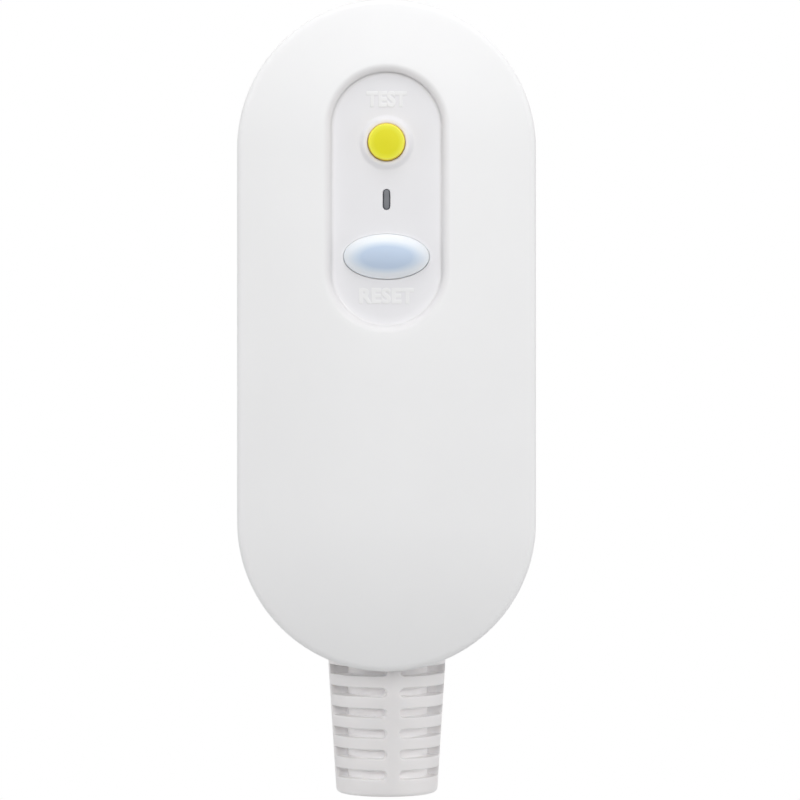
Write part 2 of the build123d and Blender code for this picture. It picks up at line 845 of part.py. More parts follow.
# Moulded frame over the contacts, with the reset button's guide tower
with BuildPart() as mechanism_frame:
    add_block(-deck_half_width, deck_half_width, deck_bottom_z, deck_top_z, deck_depth, deck_front)
    for side in (-1, 1):
        outer = side * deck_half_width
        inner = side * (deck_half_width - leg_thickness)
        low = reset_z - leg_length / 2
        add_block(min(outer, inner), max(outer, inner), low, low + leg_length, wall, deck_depth)
    add_columns([(0, reset_z)], tower_radius, deck_front, tower_depth)
    stem_hole = reset_stem_radius + 2 * slide_gap
    add_columns([(0, reset_z)], stem_hole, deck_depth, tower_depth, Mode.SUBTRACT)
    add_columns(frame_points, small_screw_radius + screw_gap, deck_depth, deck_front, Mode.SUBTRACT)
    pin_end = deck_depth + pin_front_seat
    add_columns(guide_points, guide_pin_radius + pin_gap, deck_depth, pin_end, Mode.SUBTRACT)
write(mechanism_frame, "mechanism_frame")

with BuildPart() as frame_screws:
    add_screws(
        frame_points, deck_front, small_head_radius, small_head_height,
        small_screw_radius, deck_thickness + small_screw_length - screw_end_gap, facing=1,
    )
write(frame_screws, "frame_screws")

# Contact carrier: a plate with two arms, a hub for the latch and pegs for the bridges
with BuildPart() as contact_carrier:
    arm_half = carrier_arm_height / 2
    add_block(-arm_reach, arm_reach, reset_z - arm_half, reset_z + arm_half, stop_depth, arm_depth)
    add_block(
        -hub_half_width, hub_half_width, reset_z - hub_half_length, reset_z + hub_half_length,
        stop_depth, arm_depth + hub_height,
    )
    slot_half = latch_width / 2 + slide_gap
    add_block(
        -slot_half, slot_half, reset_z - hub_half_length, reset_z + hub_half_length,
        latch_rear - slide_gap, latch_front + slide_gap, Mode.SUBTRACT,
    )
    hub_hole = reset_stem_radius + 2 * slide_gap
    add_columns([(0, reset_z)], hub_hole, stop_depth, arm_depth + hub_height, Mode.SUBTRACT)
    pin_hole = guide_pin_radius + slide_gap
    add_columns(guide_points, pin_hole, stop_depth, arm_depth, Mode.SUBTRACT)
    peg_points = [(-pole_offset, reset_z), (pole_offset, reset_z)]
    add_columns(peg_points, peg_radius, arm_depth, bridge_depth + peg_proud)
write(contact_carrier, "contact_carrier")

# Steel pins that the carrier slides on
with BuildPart() as carrier_guide_pins:
    pin_start = stop_depth - pin_rear_seat
    add_columns(guide_points, guide_pin_radius, pin_start, deck_depth + pin_front_seat)
write(carrier_guide_pins, "carrier_guide_pins")

# Springs that throw the carrier open
with BuildPart() as carrier_springs:
    add_columns(guide_points, break_spring_radius, arm_depth, deck_depth)
    spring_inner = break_spring_radius - break_spring_wire
    add_columns(guide_points, spring_inner, arm_depth, deck_depth, Mode.SUBTRACT)
write(carrier_springs, "carrier_springs")

# Moving contact bridges and the fixed contact strips, one of each for both poles
upper_contact_z = reset_z + contact_span / 2
lower_contact_z = reset_z - contact_span / 2
for pole, side in (("live", 1), ("neutral", -1)):
    pole_x = side * pole_offset
    with BuildPart() as bridge:
        half = bridge_width / 2
        low = reset_z - bridge_length / 2
        add_block(pole_x - half, pole_x + half, low, low + bridge_length, arm_depth, bridge_depth)
        ends = [(pole_x, upper_contact_z), (pole_x, lower_contact_z)]
        add_columns(ends, contact_radius, bridge_depth, moving_depth)
        add_columns([(pole_x, reset_z)], peg_radius + pin_gap, arm_depth, bridge_depth, Mode.SUBTRACT)
    write(bridge, pole + "_bridge")

    half = strip_width / 2
    riser_z = deck_top_z
    with BuildPart() as input_strip:
        lower = (pole_x - half, pole_x + half)
        add_block(*lower, riser_z, blade_z + rivet_cover, plate_depth, plate_depth + strip_thickness)
        add_block(*lower, riser_z - strip_thickness, riser_z, plate_depth, deck_depth)
        add_block(*lower, upper_contact_z - strip_end_margin, riser_z, strip_depth, deck_depth)
        add_columns([(pole_x, upper_contact_z)], contact_radius, fixed_depth, strip_depth)
        rivet_hole = spigot_radius + screw_gap
        add_columns(
            [(side * blade_x, blade_z)], rivet_hole,
            plate_depth, plate_depth + strip_thickness, Mode.SUBTRACT,
        )
    write(input_strip, pole + "_input_strip")

    with BuildPart() as output_strip:
        strip_high = lower_contact_z + strip_end_margin
        add_block(*lower, deck_bottom_z, strip_high, strip_depth, deck_depth)
        add_columns([(pole_x, lower_contact_z)], contact_radius, fixed_depth, strip_depth)
    write(output_strip, pole + "_output_strip")

# Latch plate: slides through the hub, its bent tab sits in the plunger's neck
with BuildPart() as latch_plate:
    latch_half = latch_width / 2
    latch_top_z = reset_z + hub_half_length + latch_top_margin
    add_block(-latch_half, latch_half, tab_bottom_z, latch_top_z, latch_rear, latch_front)
    add_block(
        -latch_half, latch_half, tab_bottom_z, tab_top_z,
        latch_front, latch_front + latch_tab_height,
    )
    neck_half = plunger_shaft_radius + slide_gap
    add_block(
        -neck_half, neck_half, tab_bottom_z, tab_top_z,
        latch_front, latch_front + latch_tab_height, Mode.SUBTRACT,
    )
    hole_half = reset_tip_radius + slide_gap
    add_block(
        -hole_half, hole_half, reset_z - hole_half - plunger_travel, reset_z + hole_half,
        latch_rear, latch_front, Mode.SUBTRACT,
    )
write(latch_plate, "latch_plate")

# Trip plunger: armature, shaft, and the collar and head either side of the latch tab
armature_bottom_z = bobbin_bottom_z + piece_gap
armature_top_z = armature_bottom_z + armature_length
with BuildPart() as trip_plunger:
    add_ring(armature_bottom_z, armature_top_z, bobbin_bore_radius - slide_gap, 0, plunger_depth)
    add_ring(armature_top_z, head_bottom_z, plunger_shaft_radius, 0, plunger_depth)
    add_ring(collar_bottom_z, collar_top_z, plunger_head_radius, 0, plunger_depth)
    add_ring(head_bottom_z, head_top_z, plunger_head_radius, 0, plunger_depth)
write(trip_plunger, "trip_plunger")

lip_bottom_z = bobbin_top_z - bobbin_lip
shaft_hole = plunger_shaft_radius + slide_gap
with BuildPart() as plunger_spring:
    spring_outer = bobbin_bore_radius - slide_gap
    add_ring(armature_top_z, lip_bottom_z, spring_outer, spring_outer - plunger_spring_wire, plunger_depth)
write(plunger_spring, "plunger_spring")

with BuildPart() as solenoid_bobbin:
    add_ring(bobbin_bottom_z, bobbin_top_z, bobbin_tube_radius, 0, plunger_depth)
    add_ring(bobbin_bottom_z, bobbin_bottom_z + bobbin_flange, bobbin_flange_radius, 0, plunger_depth)
    add_ring(bobbin_top_z - bobbin_flange, bobbin_top_z, bobbin_flange_radius, 0, plunger_depth)
    add_ring(bobbin_bottom_z, lip_bottom_z, bobbin_bore_radius, 0, plunger_depth, Mode.SUBTRACT)
    add_ring(lip_bottom_z, bobbin_top_z, shaft_hole, 0, plunger_depth, Mode.SUBTRACT)
write(solenoid_bobbin, "solenoid_bobbin")

with BuildPart() as solenoid_winding:
    add_ring(
        bobbin_bottom_z + bobbin_flange, bobbin_top_z - bobbin_flange,
        bobbin_flange_radius - winding_inset, bobbin_tube_radius + pin_gap, plunger_depth,
    )
write(solenoid_winding, "solenoid_winding")

# Steel yoke: two end plates joined along the rear
with BuildPart() as solenoid_yoke:
    yoke_rear = plunger_depth - bobbin_flange_radius - yoke_thickness
    yoke_front = plunger_depth + bobbin_flange_radius
    wide = yoke_half_width
    add_block(-wide, wide, yoke_bottom_z, yoke_top_z, yoke_rear, yoke_rear + yoke_thickness)
    add_block(-wide, wide, yoke_bottom_z, bobbin_bottom_z, yoke_rear, yoke_front)
    add_block(-wide, wide, bobbin_top_z, yoke_top_z, yoke_rear, yoke_front)
    add_ring(bobbin_top_z, yoke_top_z, shaft_hole, 0, plunger_depth, Mode.SUBTRACT)
write(solenoid_yoke, "solenoid_yoke")

# Sensing transformer: an open case, the winding in its groove and the core in that
case_groove_inner = transformer_bore_radius + transformer_wall
case_groove_outer = transformer_radius - transformer_wall
with BuildPart() as transformer_case:
    add_ring(
        transformer_bottom_z, transformer_top_z, transformer_radius,
        transformer_bore_radius, lead_depth,
    )
    foot_half = transformer_radius / 2
    foot_end = lead_depth - transformer_radius * foot_overlap
    add_block(-foot_half, foot_half, transformer_bottom_z, transformer_top_z, wall, foot_end)
    add_ring(
        transformer_bottom_z + transformer_wall, transformer_top_z,
        case_groove_outer, case_groove_inner, lead_depth, Mode.SUBTRACT,
    )
write(transformer_case, "transformer_case")

winding_bottom_z = transformer_bottom_z + transformer_wall
with BuildPart() as sensing_winding:
    add_ring(
        winding_bottom_z, transformer_top_z, case_groove_outer - pin_gap,
        case_groove_inner + pin_gap, lead_depth,
    )
    add_ring(
        winding_bottom_z + winding_wall, transformer_top_z,
        case_groove_outer - pin_gap - winding_wall,
        case_groove_inner + pin_gap + winding_wall, lead_depth, Mode.SUBTRACT,
    )
write(sensing_winding, "sensing_winding")

with BuildPart() as sensing_core:
    add_ring(
        winding_bottom_z + winding_wall, transformer_top_z,
        case_groove_outer - 2 * pin_gap - winding_wall,
        case_groove_inner + 2 * pin_gap + winding_wall, lead_depth,
    )
write(sensing_core, "sensing_core")

# Blades: bar, shoulder on the pad, spigot through the plate and its riveted head
for blade_name, x, z, turn, length in blades:
    strip_height = 0 if blade_name == "earth" else strip_thickness
    head_start = plate_depth + strip_height
    with BuildPart() as blade:
        with BuildSketch(level(pad_depth)):
            with Locations((x, z)):
                Rectangle(blade_width, blade_thickness, rotation=turn)
        extrude(amount=-pad_depth - length)
        chamfer(blade.faces().sort_by(Axis.Y)[-1].edges(), blade_tip_chamfer)
        with BuildSketch(level(pad_depth)):
            with Locations((x, z)):
                Rectangle(shoulder_width, shoulder_thickness, rotation=turn)
        extrude(amount=shoulder_height)
        add_columns([(x, z)], spigot_radius, shoulder_depth, head_start)
        add_columns([(x, z)], rivet_radius, head_start, head_start + rivet_height)
    write(blade, blade_name + "_blade")

# Insulating plate that holds the blades' shoulders down on the pad
with BuildPart() as blade_plate:
    with BuildSketch(level(shoulder_depth)):
        blade_plate_outline(0)
    extrude(amount=blade_plate_thickness)
    blade_points = [(x, z) for blade_name, x, z, turn, length in blades]
    add_columns(blade_points, spigot_radius + screw_gap, shoulder_depth, plate_depth, Mode.SUBTRACT)
    plate_hole = small_screw_radius + screw_gap
    add_columns(blade_screw_points, plate_hole, shoulder_depth, plate_depth, Mode.SUBTRACT)
write(blade_plate, "blade_plate")

with BuildPart() as blade_plate_screws:
    add_screws(
        blade_screw_points, plate_depth, small_head_radius, small_head_height,
        small_screw_radius, blade_plate_thickness + shoulder_height + pad_height, facing=1,
    )
write(blade_plate_screws, "blade_plate_screws")

# Output terminals with their screws
terminals = [("live", terminal_pitch), ("neutral", 0.0), ("earth", -terminal_pitch)]
terminal_front = shelf_depth + terminal_depth
for terminal_name, x in terminals:
    with BuildPart() as terminal:
        half = terminal_width / 2
        add_block(x - half, x + half, terminal_bottom_z, terminal_top_z, shelf_depth, terminal_front)
        with BuildSketch(Plane.XY.offset(terminal_bottom_z)):
            with Locations((x, -lead_depth)):
                Circle(terminal_bore_radius)
        extrude(amount=terminal_height, mode=Mode.SUBTRACT)
        middle = [(x, (terminal_bottom_z + terminal_top_z) / 2)]
        add_columns(middle, terminal_screw_radius + pin_gap, lead_depth, terminal_front, Mode.SUBTRACT)
    write(terminal, terminal_name + "_terminal")

with BuildPart() as terminal_screws:
    screw_points = [(x, (terminal_bottom_z + terminal_top_z) / 2) for name, x in terminals]
    grip_length = terminal_front - lead_depth - lead_radius - piece_gap
    add_screws(
        screw_points, terminal_front, terminal_head_radius, terminal_head_height,
        terminal_screw_radius, grip_length, facing=1,
    )
write(terminal_screws, "terminal_screws")

# Insulated leads from the strips through the transformer to the terminals
lead_end_z = terminal_top_z - terminal_height / 2
fan_z = terminal_top_z + fan_rise
lead_routes = [
    ("live", 1, terminal_pitch),
    ("neutral", -1, 0.0),
]
for lead_name, side, terminal_x in lead_routes:
    start_x = side * conductor_offset
    bore_x = side * lead_spacing / 2
    with BuildPart() as lead:
        with BuildLine() as route:
            FilletPolyline(
                (start_x, -lead_depth, deck_bottom_z),
                (start_x, -lead_depth, yoke_bottom_z + bend_drop),
                (bore_x, -lead_depth, transformer_top_z + bore_drop),
                (bore_x, -lead_depth, transformer_bottom_z - bore_drop / 2),
                (terminal_x, -lead_depth, fan_z),
                (terminal_x, -lead_depth, lead_end_z),
                radius=lead_bend_radius,
            )
        with BuildSketch(Plane(route.line @ 0, z_dir=route.line % 0)):
            Circle(lead_radius)
        sweep()
    write(lead, lead_name + "_lead")

# Earth lead from the earth blade to its terminal, down between the frame and the wall
earth_lead_x = lead_frame_shift - (deck_half_width + inner_half) / 2
earth_start = plate_depth + rivet_height
earth_crossing = lead_depth + earth_lead_lift
with BuildPart() as earth_lead:
    with BuildLine() as route:
        FilletPolyline(
            (0, -earth_start, earth_offset),
            (0, -earth_crossing, earth_offset),
            (earth_lead_x / 2, -earth_crossing, blade_z + earth_lead_drop),
            (earth_lead_x, -lead_depth, deck_top_z + earth_lead_clearance),
            (earth_lead_x, -lead_depth, fan_z + earth_lead_tail),
            (-terminal_pitch, -lead_depth, fan_z),
            (-terminal_pitch, -lead_depth, lead_end_z),
            radius=lead_bend_radius,
        )
    with BuildSketch(Plane(route.line @ 0, z_dir=route.line % 0)):
        Circle(lead_radius)
    sweep()
write(earth_lead, "earth_lead")

# Cable clamp bar over the saddle, and its screws
with BuildPart() as cable_clamp:
    reach = clamp_bar_half_length
    clamp_front = clamp_post_depth + clamp_bar_thickness
    add_block(-reach, reach, clamp_bottom_z, clamp_top_z, clamp_post_depth, clamp_front)
    fillet(cable_clamp.edges().filter_by(Axis.Y), clamp_corner)
    cut_cable_path()
    add_columns(clamp_points, small_screw_radius + screw_gap, clamp_post_depth, clamp_front, Mode.SUBTRACT)
write(cable_clamp, "cable_clamp")

with BuildPart() as cable_clamp_screws:
    add_screws(
        clamp_points, clamp_post_depth + clamp_bar_thickness, small_head_radius,
        small_head_height, small_screw_radius,
        clamp_bar_thickness + small_screw_length - screw_end_gap, facing=1,
    )
write(cable_clamp_screws, "cable_clamp_screws")

# Pockets of the sleeve: slots cut from the front and the rear, short of the core
slot_reach = sleeve_radius + cut_margin
pocket_top_z = sleeve_wall_z + slot_pitch
with BuildPart() as sleeve_pockets:
    with BuildSketch(level(parting_depth)):
        for index in range(slot_count):
            slot_z = sleeve_wall_z - first_slot_drop - index * slot_pitch
            for side in (-1, 1):
                middle_x = side * (front_web / 2 + slot_reach / 2)
                with Locations((middle_x, slot_z)):
                    SlotOverall(slot_reach, slot_height)
    extrude(amount=slot_reach, both=True)
    add_block(
        -2 * slot_reach, 2 * slot_reach, sleeve_end_z, pocket_top_z,
        parting_depth - side_fin / 2, parting_depth + side_fin / 2, Mode.SUBTRACT,
    )
    add_ring(sleeve_end_z, pocket_top_z, sleeve_core_radius, 0, parting_depth, Mode.SUBTRACT)

# Flexible strain relief sleeve, held by its groove in the two covers
with BuildPart() as strain_relief:
    with BuildSketch(Plane.XY.offset(sleeve_wall_z)):
        with Locations((0, -parting_depth)):
            Circle(sleeve_radius)
    with BuildSketch(Plane.XY.offset(sleeve_end_z)):
        with Locations((0, -parting_depth)):
            Circle(sleeve_end_radius)
    loft()
    chamfer(strain_relief.faces().sort_by(Axis.Z)[0].edges(), sleeve_chamfer)
    add_ring(sleeve_wall_z, rib_bottom_z - slide_gap, sleeve_radius, 0, parting_depth)
    add_ring(rib_bottom_z - slide_gap, rib_top_z + slide_gap, sleeve_groove_radius, 0, parting_depth)
    add_ring(rib_top_z + slide_gap, sleeve_top_z, sleeve_radius, 0, parting_depth)
    add(sleeve_pockets.part, mode=Mode.SUBTRACT)
    bore = cable_radius + sleeve_bore_gap
    add_ring(sleeve_end_z - cut_margin, sleeve_top_z + cut_margin, bore, 0, parting_depth, Mode.SUBTRACT)
write(strain_relief, "strain_relief")
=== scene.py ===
# %% [markdown]
# A mains plug with a residual current switch in it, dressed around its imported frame.
# This lesson goes through the plug from the outside in: first the stage and the camera,
# then the moulded front cover, the buttons, the sleeve that guides the cable, the rear
# cover with its blades, and last the works inside. Every length is in metres, +Z is up,
# the blades point along +Y and the front cover faces -Y.

import json

import bmesh
import bpy
import numpy as np
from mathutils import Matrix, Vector


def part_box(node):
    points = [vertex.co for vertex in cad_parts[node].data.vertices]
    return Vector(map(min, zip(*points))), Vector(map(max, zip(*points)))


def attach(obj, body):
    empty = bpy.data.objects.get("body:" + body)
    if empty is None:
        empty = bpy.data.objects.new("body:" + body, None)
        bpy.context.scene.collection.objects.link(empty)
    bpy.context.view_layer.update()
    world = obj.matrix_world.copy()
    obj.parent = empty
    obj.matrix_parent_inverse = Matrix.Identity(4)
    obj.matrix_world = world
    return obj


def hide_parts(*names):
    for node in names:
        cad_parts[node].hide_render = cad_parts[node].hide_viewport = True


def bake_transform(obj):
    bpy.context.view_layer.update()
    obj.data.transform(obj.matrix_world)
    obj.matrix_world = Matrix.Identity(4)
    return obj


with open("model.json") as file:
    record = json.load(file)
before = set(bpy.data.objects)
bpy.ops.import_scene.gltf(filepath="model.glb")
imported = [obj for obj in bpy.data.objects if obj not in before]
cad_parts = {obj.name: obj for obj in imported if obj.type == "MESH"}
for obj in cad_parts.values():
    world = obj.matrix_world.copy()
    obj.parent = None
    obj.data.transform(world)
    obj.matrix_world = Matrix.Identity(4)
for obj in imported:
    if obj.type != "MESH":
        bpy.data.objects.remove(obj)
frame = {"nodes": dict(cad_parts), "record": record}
nodes = frame["nodes"]
scene = bpy.context.scene
MM = 0.001
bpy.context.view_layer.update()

# %% [markdown]
# The frame holds the real sizes. A few of them are read back from the nodes' boxes, so
# that the new surfaces lie where the solids are. The others are the driving sizes that
# the solids were drawn with, apart from a few gaps, roundings and the sleeve's end,
# which follow the photograph a little more closely.

# %% Sizes read from the frame
cover_low, cover_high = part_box("front_cover")
sleeve_low, sleeve_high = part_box("strain_relief")
test_low, test_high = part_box("test_button")
reset_low, reset_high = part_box("reset_button")
lens_low, lens_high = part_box("indicator_lens")

BODY_RADIUS = cover_high.x
TOP_CENTRE_Z = cover_high.z - BODY_RADIUS
LOW_CENTRE_Z = cover_low.z + BODY_RADIUS
BODY_DEPTH = -cover_low.y
TEST_Z = (test_low.z + test_high.z) / 2
RESET_Z = (reset_low.z + reset_high.z) / 2
LENS_Z = (lens_low.z + lens_high.z) / 2
SLEEVE_DEPTH = -(sleeve_low.y + sleeve_high.y) / 2
print("body radius", BODY_RADIUS, "depth", BODY_DEPTH, "button heights", TEST_Z, RESET_Z)

# %% [markdown]
# The photograph looks almost straight at the plug from about half a metre, a little to
# the right of its middle. A camera with a long lens at that spot gives the same framing.
# The angle of view is that of 800 pixels over 0.1736 mm each at the plug's outline.

# %% Camera
PIXEL_SIZE = 0.1736 * MM
PICTURE_SIDE = 800
OUTLINE_DEPTH = 33.6 * MM
CAMERA_DISTANCE = 556 * MM
CAMERA_X = 2.34 * MM
CAMERA_Z = -43.75 * MM

camera_data = bpy.data.cameras.new("product_camera")
camera = bpy.data.objects.new("product_camera", camera_data)
scene.collection.objects.link(camera)
camera.location = (CAMERA_X, -OUTLINE_DEPTH - CAMERA_DISTANCE, CAMERA_Z)
camera.rotation_euler = (np.pi / 2, 0, 0)
half_angle = np.arctan(PICTURE_SIDE * PIXEL_SIZE / 2 / CAMERA_DISTANCE)
camera_data.sensor_width = 36
camera_data.lens = camera_data.sensor_width / 2 / np.tan(half_angle)
camera_data.clip_start = 0.01
camera_data.clip_end = 50
scene.camera = camera
print("lens", round(camera_data.lens, 1))

# %% [markdown]
# A material here is a short chain: object coordinates feed a fine noise, the noise makes
# a shallow bump and a small change of roughness, and the colour comes from one value or
# a ramp. Helpers make that chain, so that each finish only says what differs. The first
# set makes the material and turns a place on the plug into a value.

# %% Helpers for coordinates and values
def new_material(name, constants):
    """A node material, its tree and its Principled shader with constants on its sockets."""
    material = bpy.data.materials.new(name)
    material.use_nodes = True
    tree = material.node_tree
    shader = tree.nodes["Principled BSDF"]
    for socket, value in constants.items():
        shader.inputs[socket].default_value = value
    return material, tree, shader


def object_point(tree, centre=(0, 0, 0), stretch=(1, 1, 1)):
    """Object coordinates, moved so that centre is the origin and then stretched."""
    place = tree.nodes.new("ShaderNodeTexCoord")
    mapping = tree.nodes.new("ShaderNodeMapping")
    mapping.inputs["Scale"].default_value = stretch
    mapping.inputs["Location"].default_value = [-c * s for c, s in zip(centre, stretch)]
    tree.links.new(place.outputs["Object"], mapping.inputs["Vector"])
    return mapping.outputs["Vector"]


def axis_value(tree, axis, centre=(0, 0, 0)):
    """One object coordinate as a value, counted from a centre."""
    split = tree.nodes.new("ShaderNodeSeparateXYZ")
    tree.links.new(object_point(tree, centre), split.inputs["Vector"])
    return split.outputs[axis]


def distance_from(tree, centre, stretch):
    """Distance from a centre in stretched object coordinates."""
    length = tree.nodes.new("ShaderNodeVectorMath")
    length.operation = "LENGTH"
    tree.links.new(object_point(tree, centre, stretch), length.inputs[0])
    return length.outputs["Value"]


def math_node(tree, operation, first, second=0.0):
    """One step of arithmetic on a value; the second value can be a number or a socket."""
    node = tree.nodes.new("ShaderNodeMath")
    node.operation = operation
    tree.links.new(first, node.inputs[0])
    if isinstance(second, float):
        node.inputs[1].default_value = second
    else:
        tree.links.new(second, node.inputs[1])
    return node.outputs["Value"]


def remap(tree, value, low, high, from_low=0.0, from_high=1.0):
    """A value carried from one range to another, held at the ends."""
    node = tree.nodes.new("ShaderNodeMapRange")
    node.inputs["From Min"].default_value = from_low
    node.inputs["From Max"].default_value = from_high
    node.inputs["To Min"].default_value = low
    node.inputs["To Max"].default_value = high
    tree.links.new(value, node.inputs["Value"])
    return node.outputs["Result"]


print("helpers for coordinates ready")

# %% [markdown]
# The second set gives a surface its look: a noise, a bump made from any value, and a
# colour looked up along any value. Moulded and brushed surfaces share one fine grain, so
# that their bumps and their changes of roughness lie in the same places.

# %% Helpers for grain and colour
def noise(tree, vector, per_metre, detail=2.0):
    """A noise value between 0 and 1 with so many blotches in a metre."""
    node = tree.nodes.new("ShaderNodeTexNoise")
    node.inputs["Scale"].default_value = per_metre
    node.inputs["Detail"].default_value = detail
    tree.links.new(vector, node.inputs["Vector"])
    return node.outputs["Fac"]


def bump(tree, value, height, shader):
    """A bump of the given height in metres under the shader's normal."""
    node = tree.nodes.new("ShaderNodeBump")
    node.inputs["Strength"].default_value = 1.0
    node.inputs["Distance"].default_value = height
    tree.links.new(value, node.inputs["Height"])
    tree.links.new(node.outputs["Normal"], shader.inputs["Normal"])


def colour_ramp(tree, value, stops, interpolation="LINEAR"):
    """A colour looked up along a value; stops are (place, colour) pairs."""
    node = tree.nodes.new("ShaderNodeValToRGB")
    node.color_ramp.interpolation = interpolation
    elements = node.color_ramp.elements
    while len(elements) < len(stops):
        elements.new(0.5)
    for element, (place, colour) in zip(elements, stops):
        element.position = place
        element.color = (*colour, 1)
    tree.links.new(value, node.inputs["Fac"])
    return node.outputs["Color"]


def paint(tree, shader, value, stops, interpolation="LINEAR"):
    """Base colour looked up along a value."""
    tree.links.new(colour_ramp(tree, value, stops, interpolation), shader.inputs["Base Color"])


def grained(tree, shader, vector, per_metre, height, roughness, spread, detail=2.0):
    """Fine grain: one noise moves the roughness by the spread each way and makes a bump."""
    grain = noise(tree, vector, per_metre, detail)
    rough = remap(tree, grain, roughness - spread, roughness + spread)
    tree.links.new(rough, shader.inputs["Roughness"])
    bump(tree, grain, height, shader)
    return grain


print("helpers for grain and colour ready")

# %% [markdown]
# The covers are injection moulded in white plastic. Their tool was spark eroded, which
# leaves a fine even grain that only shows as a soft sheen. The grain is a noise of about
# three blotches in a millimetre, with a bump of a few microns.

# %% White cover plastic
CLOUDS_PER_METRE = 60
CLOUD_TONE = 0.985
PLASTIC_SPREAD = 0.05
# Colour, roughness, grain in a metre and height of the grain.
COVER_FINISH = ((0.84, 0.84, 0.845), 0.5, 3200, 4e-6)


def moulded_plastic(name, colour, roughness, grain_per_metre, grain_height):
    """Moulded plastic: even colour with faint cloudiness, grain bump, soft reflection."""
    material, tree, shader = new_material(name, {"Specular IOR Level": 0.3})
    point = object_point(tree)
    darker = tuple(c * CLOUD_TONE for c in colour)
    paint(tree, shader, noise(tree, point, CLOUDS_PER_METRE, 3.0), [(0.3, darker), (0.7, colour)])
    grained(tree, shader, point, grain_per_metre, grain_height, roughness, PLASTIC_SPREAD)
    return material


cover_plastic = moulded_plastic("white_cover_plastic", *COVER_FINISH)
print("made", cover_plastic.name)

# %% [markdown]
# In the recess the cover is painted a little darker and cooler as shade, most of all along
# its wall. That could be a second material on the recess's faces, but its edge would show.
# Instead the same plastic is multiplied by a ramp over the distance from the recess's spine,
# the upright line that its round-ended outline follows. The ramp ends in plain white at the
# rim's outer edge, so the painted shade fades out there.

# %% Front cover plastic with painted shade in its recess
RECESS_HALF_SPINE = 12.4 * MM
RECESS_MASK_DEPTH = 34 * MM
# Distance in millimetres and colour factor of the painted shade.
RECESS_PAINTED_SHADE = [
    (9.0, (0.95, 0.945, 0.962)), (9.4, (0.90, 0.89, 0.895)),
    (10.1, (0.91, 0.90, 0.905)), (11.0, (1, 1, 1)),
]


def recess_painted_shade(tree):
    """Painted shade: colour factor by millimetres from the recess's spine, and a mask for the front
    only.
    """
    height = math_node(tree, "ABSOLUTE", axis_value(tree, "Z", (0, 0, LENS_Z)))
    past_end = math_node(tree, "SUBTRACT", height, RECESS_HALF_SPINE)
    squares = [
        math_node(tree, "POWER", math_node(tree, "ABSOLUTE", value), 2.0)
        for value in (axis_value(tree, "X"), math_node(tree, "MAXIMUM", past_end, 0.0))
    ]
    distance = math_node(tree, "SQRT", math_node(tree, "ADD", *squares))
    near, far = RECESS_PAINTED_SHADE[0][0], RECESS_PAINTED_SHADE[-1][0]
    stops = [((at - near) / (far - near), colour) for at, colour in RECESS_PAINTED_SHADE]
    painted_shade = colour_ramp(tree, remap(tree, distance, 0, 1, near * MM, far * MM), stops)
    depth = math_node(tree, "MULTIPLY", axis_value(tree, "Y"), -1.0)
    return painted_shade, math_node(tree, "GREATER_THAN", depth, RECESS_MASK_DEPTH)


def front_plastic():
    """Cover plastic, multiplied by the recess's painted shade where the mask is set."""
    material = moulded_plastic("white_front_plastic", *COVER_FINISH)
    tree = material.node_tree
    base = tree.nodes["Principled BSDF"].inputs["Base Color"]
    blend = tree.nodes.new("ShaderNodeMixRGB")
    blend.blend_type = "MULTIPLY"
    # The recess's colour factor is painted shade, multiplied in only at the front.
    painted_shade, mask = recess_painted_shade(tree)
    for socket, value in (("Fac", mask), ("Color1", base.links[0].from_socket), ("Color2", painted_shade)):
        tree.links.new(value, blend.inputs[socket])
    tree.links.new(blend.outputs["Color"], base)
    return material


recessed_plastic = front_plastic()
print("made", recessed_plastic.name)

# %% [markdown]
# Grid surfaces are computed with numpy as arrays of points, one row after another, and
# turned into a mesh in one go. Rows that close on themselves share their first column.
# Merging doubles afterwards welds surfaces that meet. Where a grid is folded flat onto
# itself, welding leaves one face of the two, which is deleted. Then the normals are
# worked out again, so that every closed piece faces outwards.

# %% Mesh helpers
def ring_faces(rows, columns, first=0):
    """Quads between neighbouring closed rows of a grid, as an array of indices."""
    row, column = np.meshgrid(np.arange(rows - 1), np.arange(columns), indexing="ij")
    after = (column + 1) % columns
    quads = np.stack(
        [row * columns + column, row * columns + after,
         (row + 1) * columns + after, (row + 1) * columns + column], axis=-1,
    )
    return quads.reshape(-1, 4) + first


def make_piece(name, surfaces, material, body, replaces=(), merge=2e-6, smooth_angle=40):
    """A closed piece from (points, faces) surfaces: welded, smoothed and set on its body.

    A piece without a body is not attached to any.
    """
    points, faces, count = [], [], 0
    for surface_points, surface_faces in surfaces:
        points.append(np.asarray(surface_points, float).reshape(-1, 3))
        faces.extend((np.asarray(face) + count).tolist() for face in surface_faces)
        count += len(points[-1])
    mesh = bpy.data.meshes.new(name)
    mesh.from_pydata(np.concatenate(points).tolist(), [], faces)
    work = bmesh.new()
    work.from_mesh(mesh)
    bmesh.ops.remove_doubles(work, verts=work.verts, dist=merge)
    folded = {edge.link_faces[0] for edge in work.edges if len(edge.link_faces) == 1}
    bmesh.ops.delete(work, geom=list(folded), context="FACES")
    bmesh.ops.recalc_face_normals(work, faces=work.faces)
    open_edges = sum(1 for edge in work.edges if len(edge.link_faces) != 2)
    work.to_mesh(mesh)
    work.free()
    piece = bpy.data.objects.new(name, mesh)
    scene.collection.objects.link(piece)
    mesh.materials.append(material)
    mesh.shade_smooth()
    mesh.set_sharp_from_angle(angle=np.radians(smooth_angle))
    if body:
        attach(piece, body)
    if replaces:
        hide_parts(*replaces)
    print(name, len(mesh.polygons), "faces,", open_edges, "open edges")
    return piece


# %% [markdown]
# The front cover's outline is a stadium: two half circles joined by straight sides. Its
# front is crowned to a 100 mm radius across, and the crown turns round both ends. So
# the depth of the front depends only on the distance from the cover's spine, the line
# between the two end centres. Every closed row of the mesh is a stadium, and matching
# columns of the outer edge and of the recess's rim are joined by straight rays. The
# lower arc has a column at each side of the sleeve's hole and close steps between them.

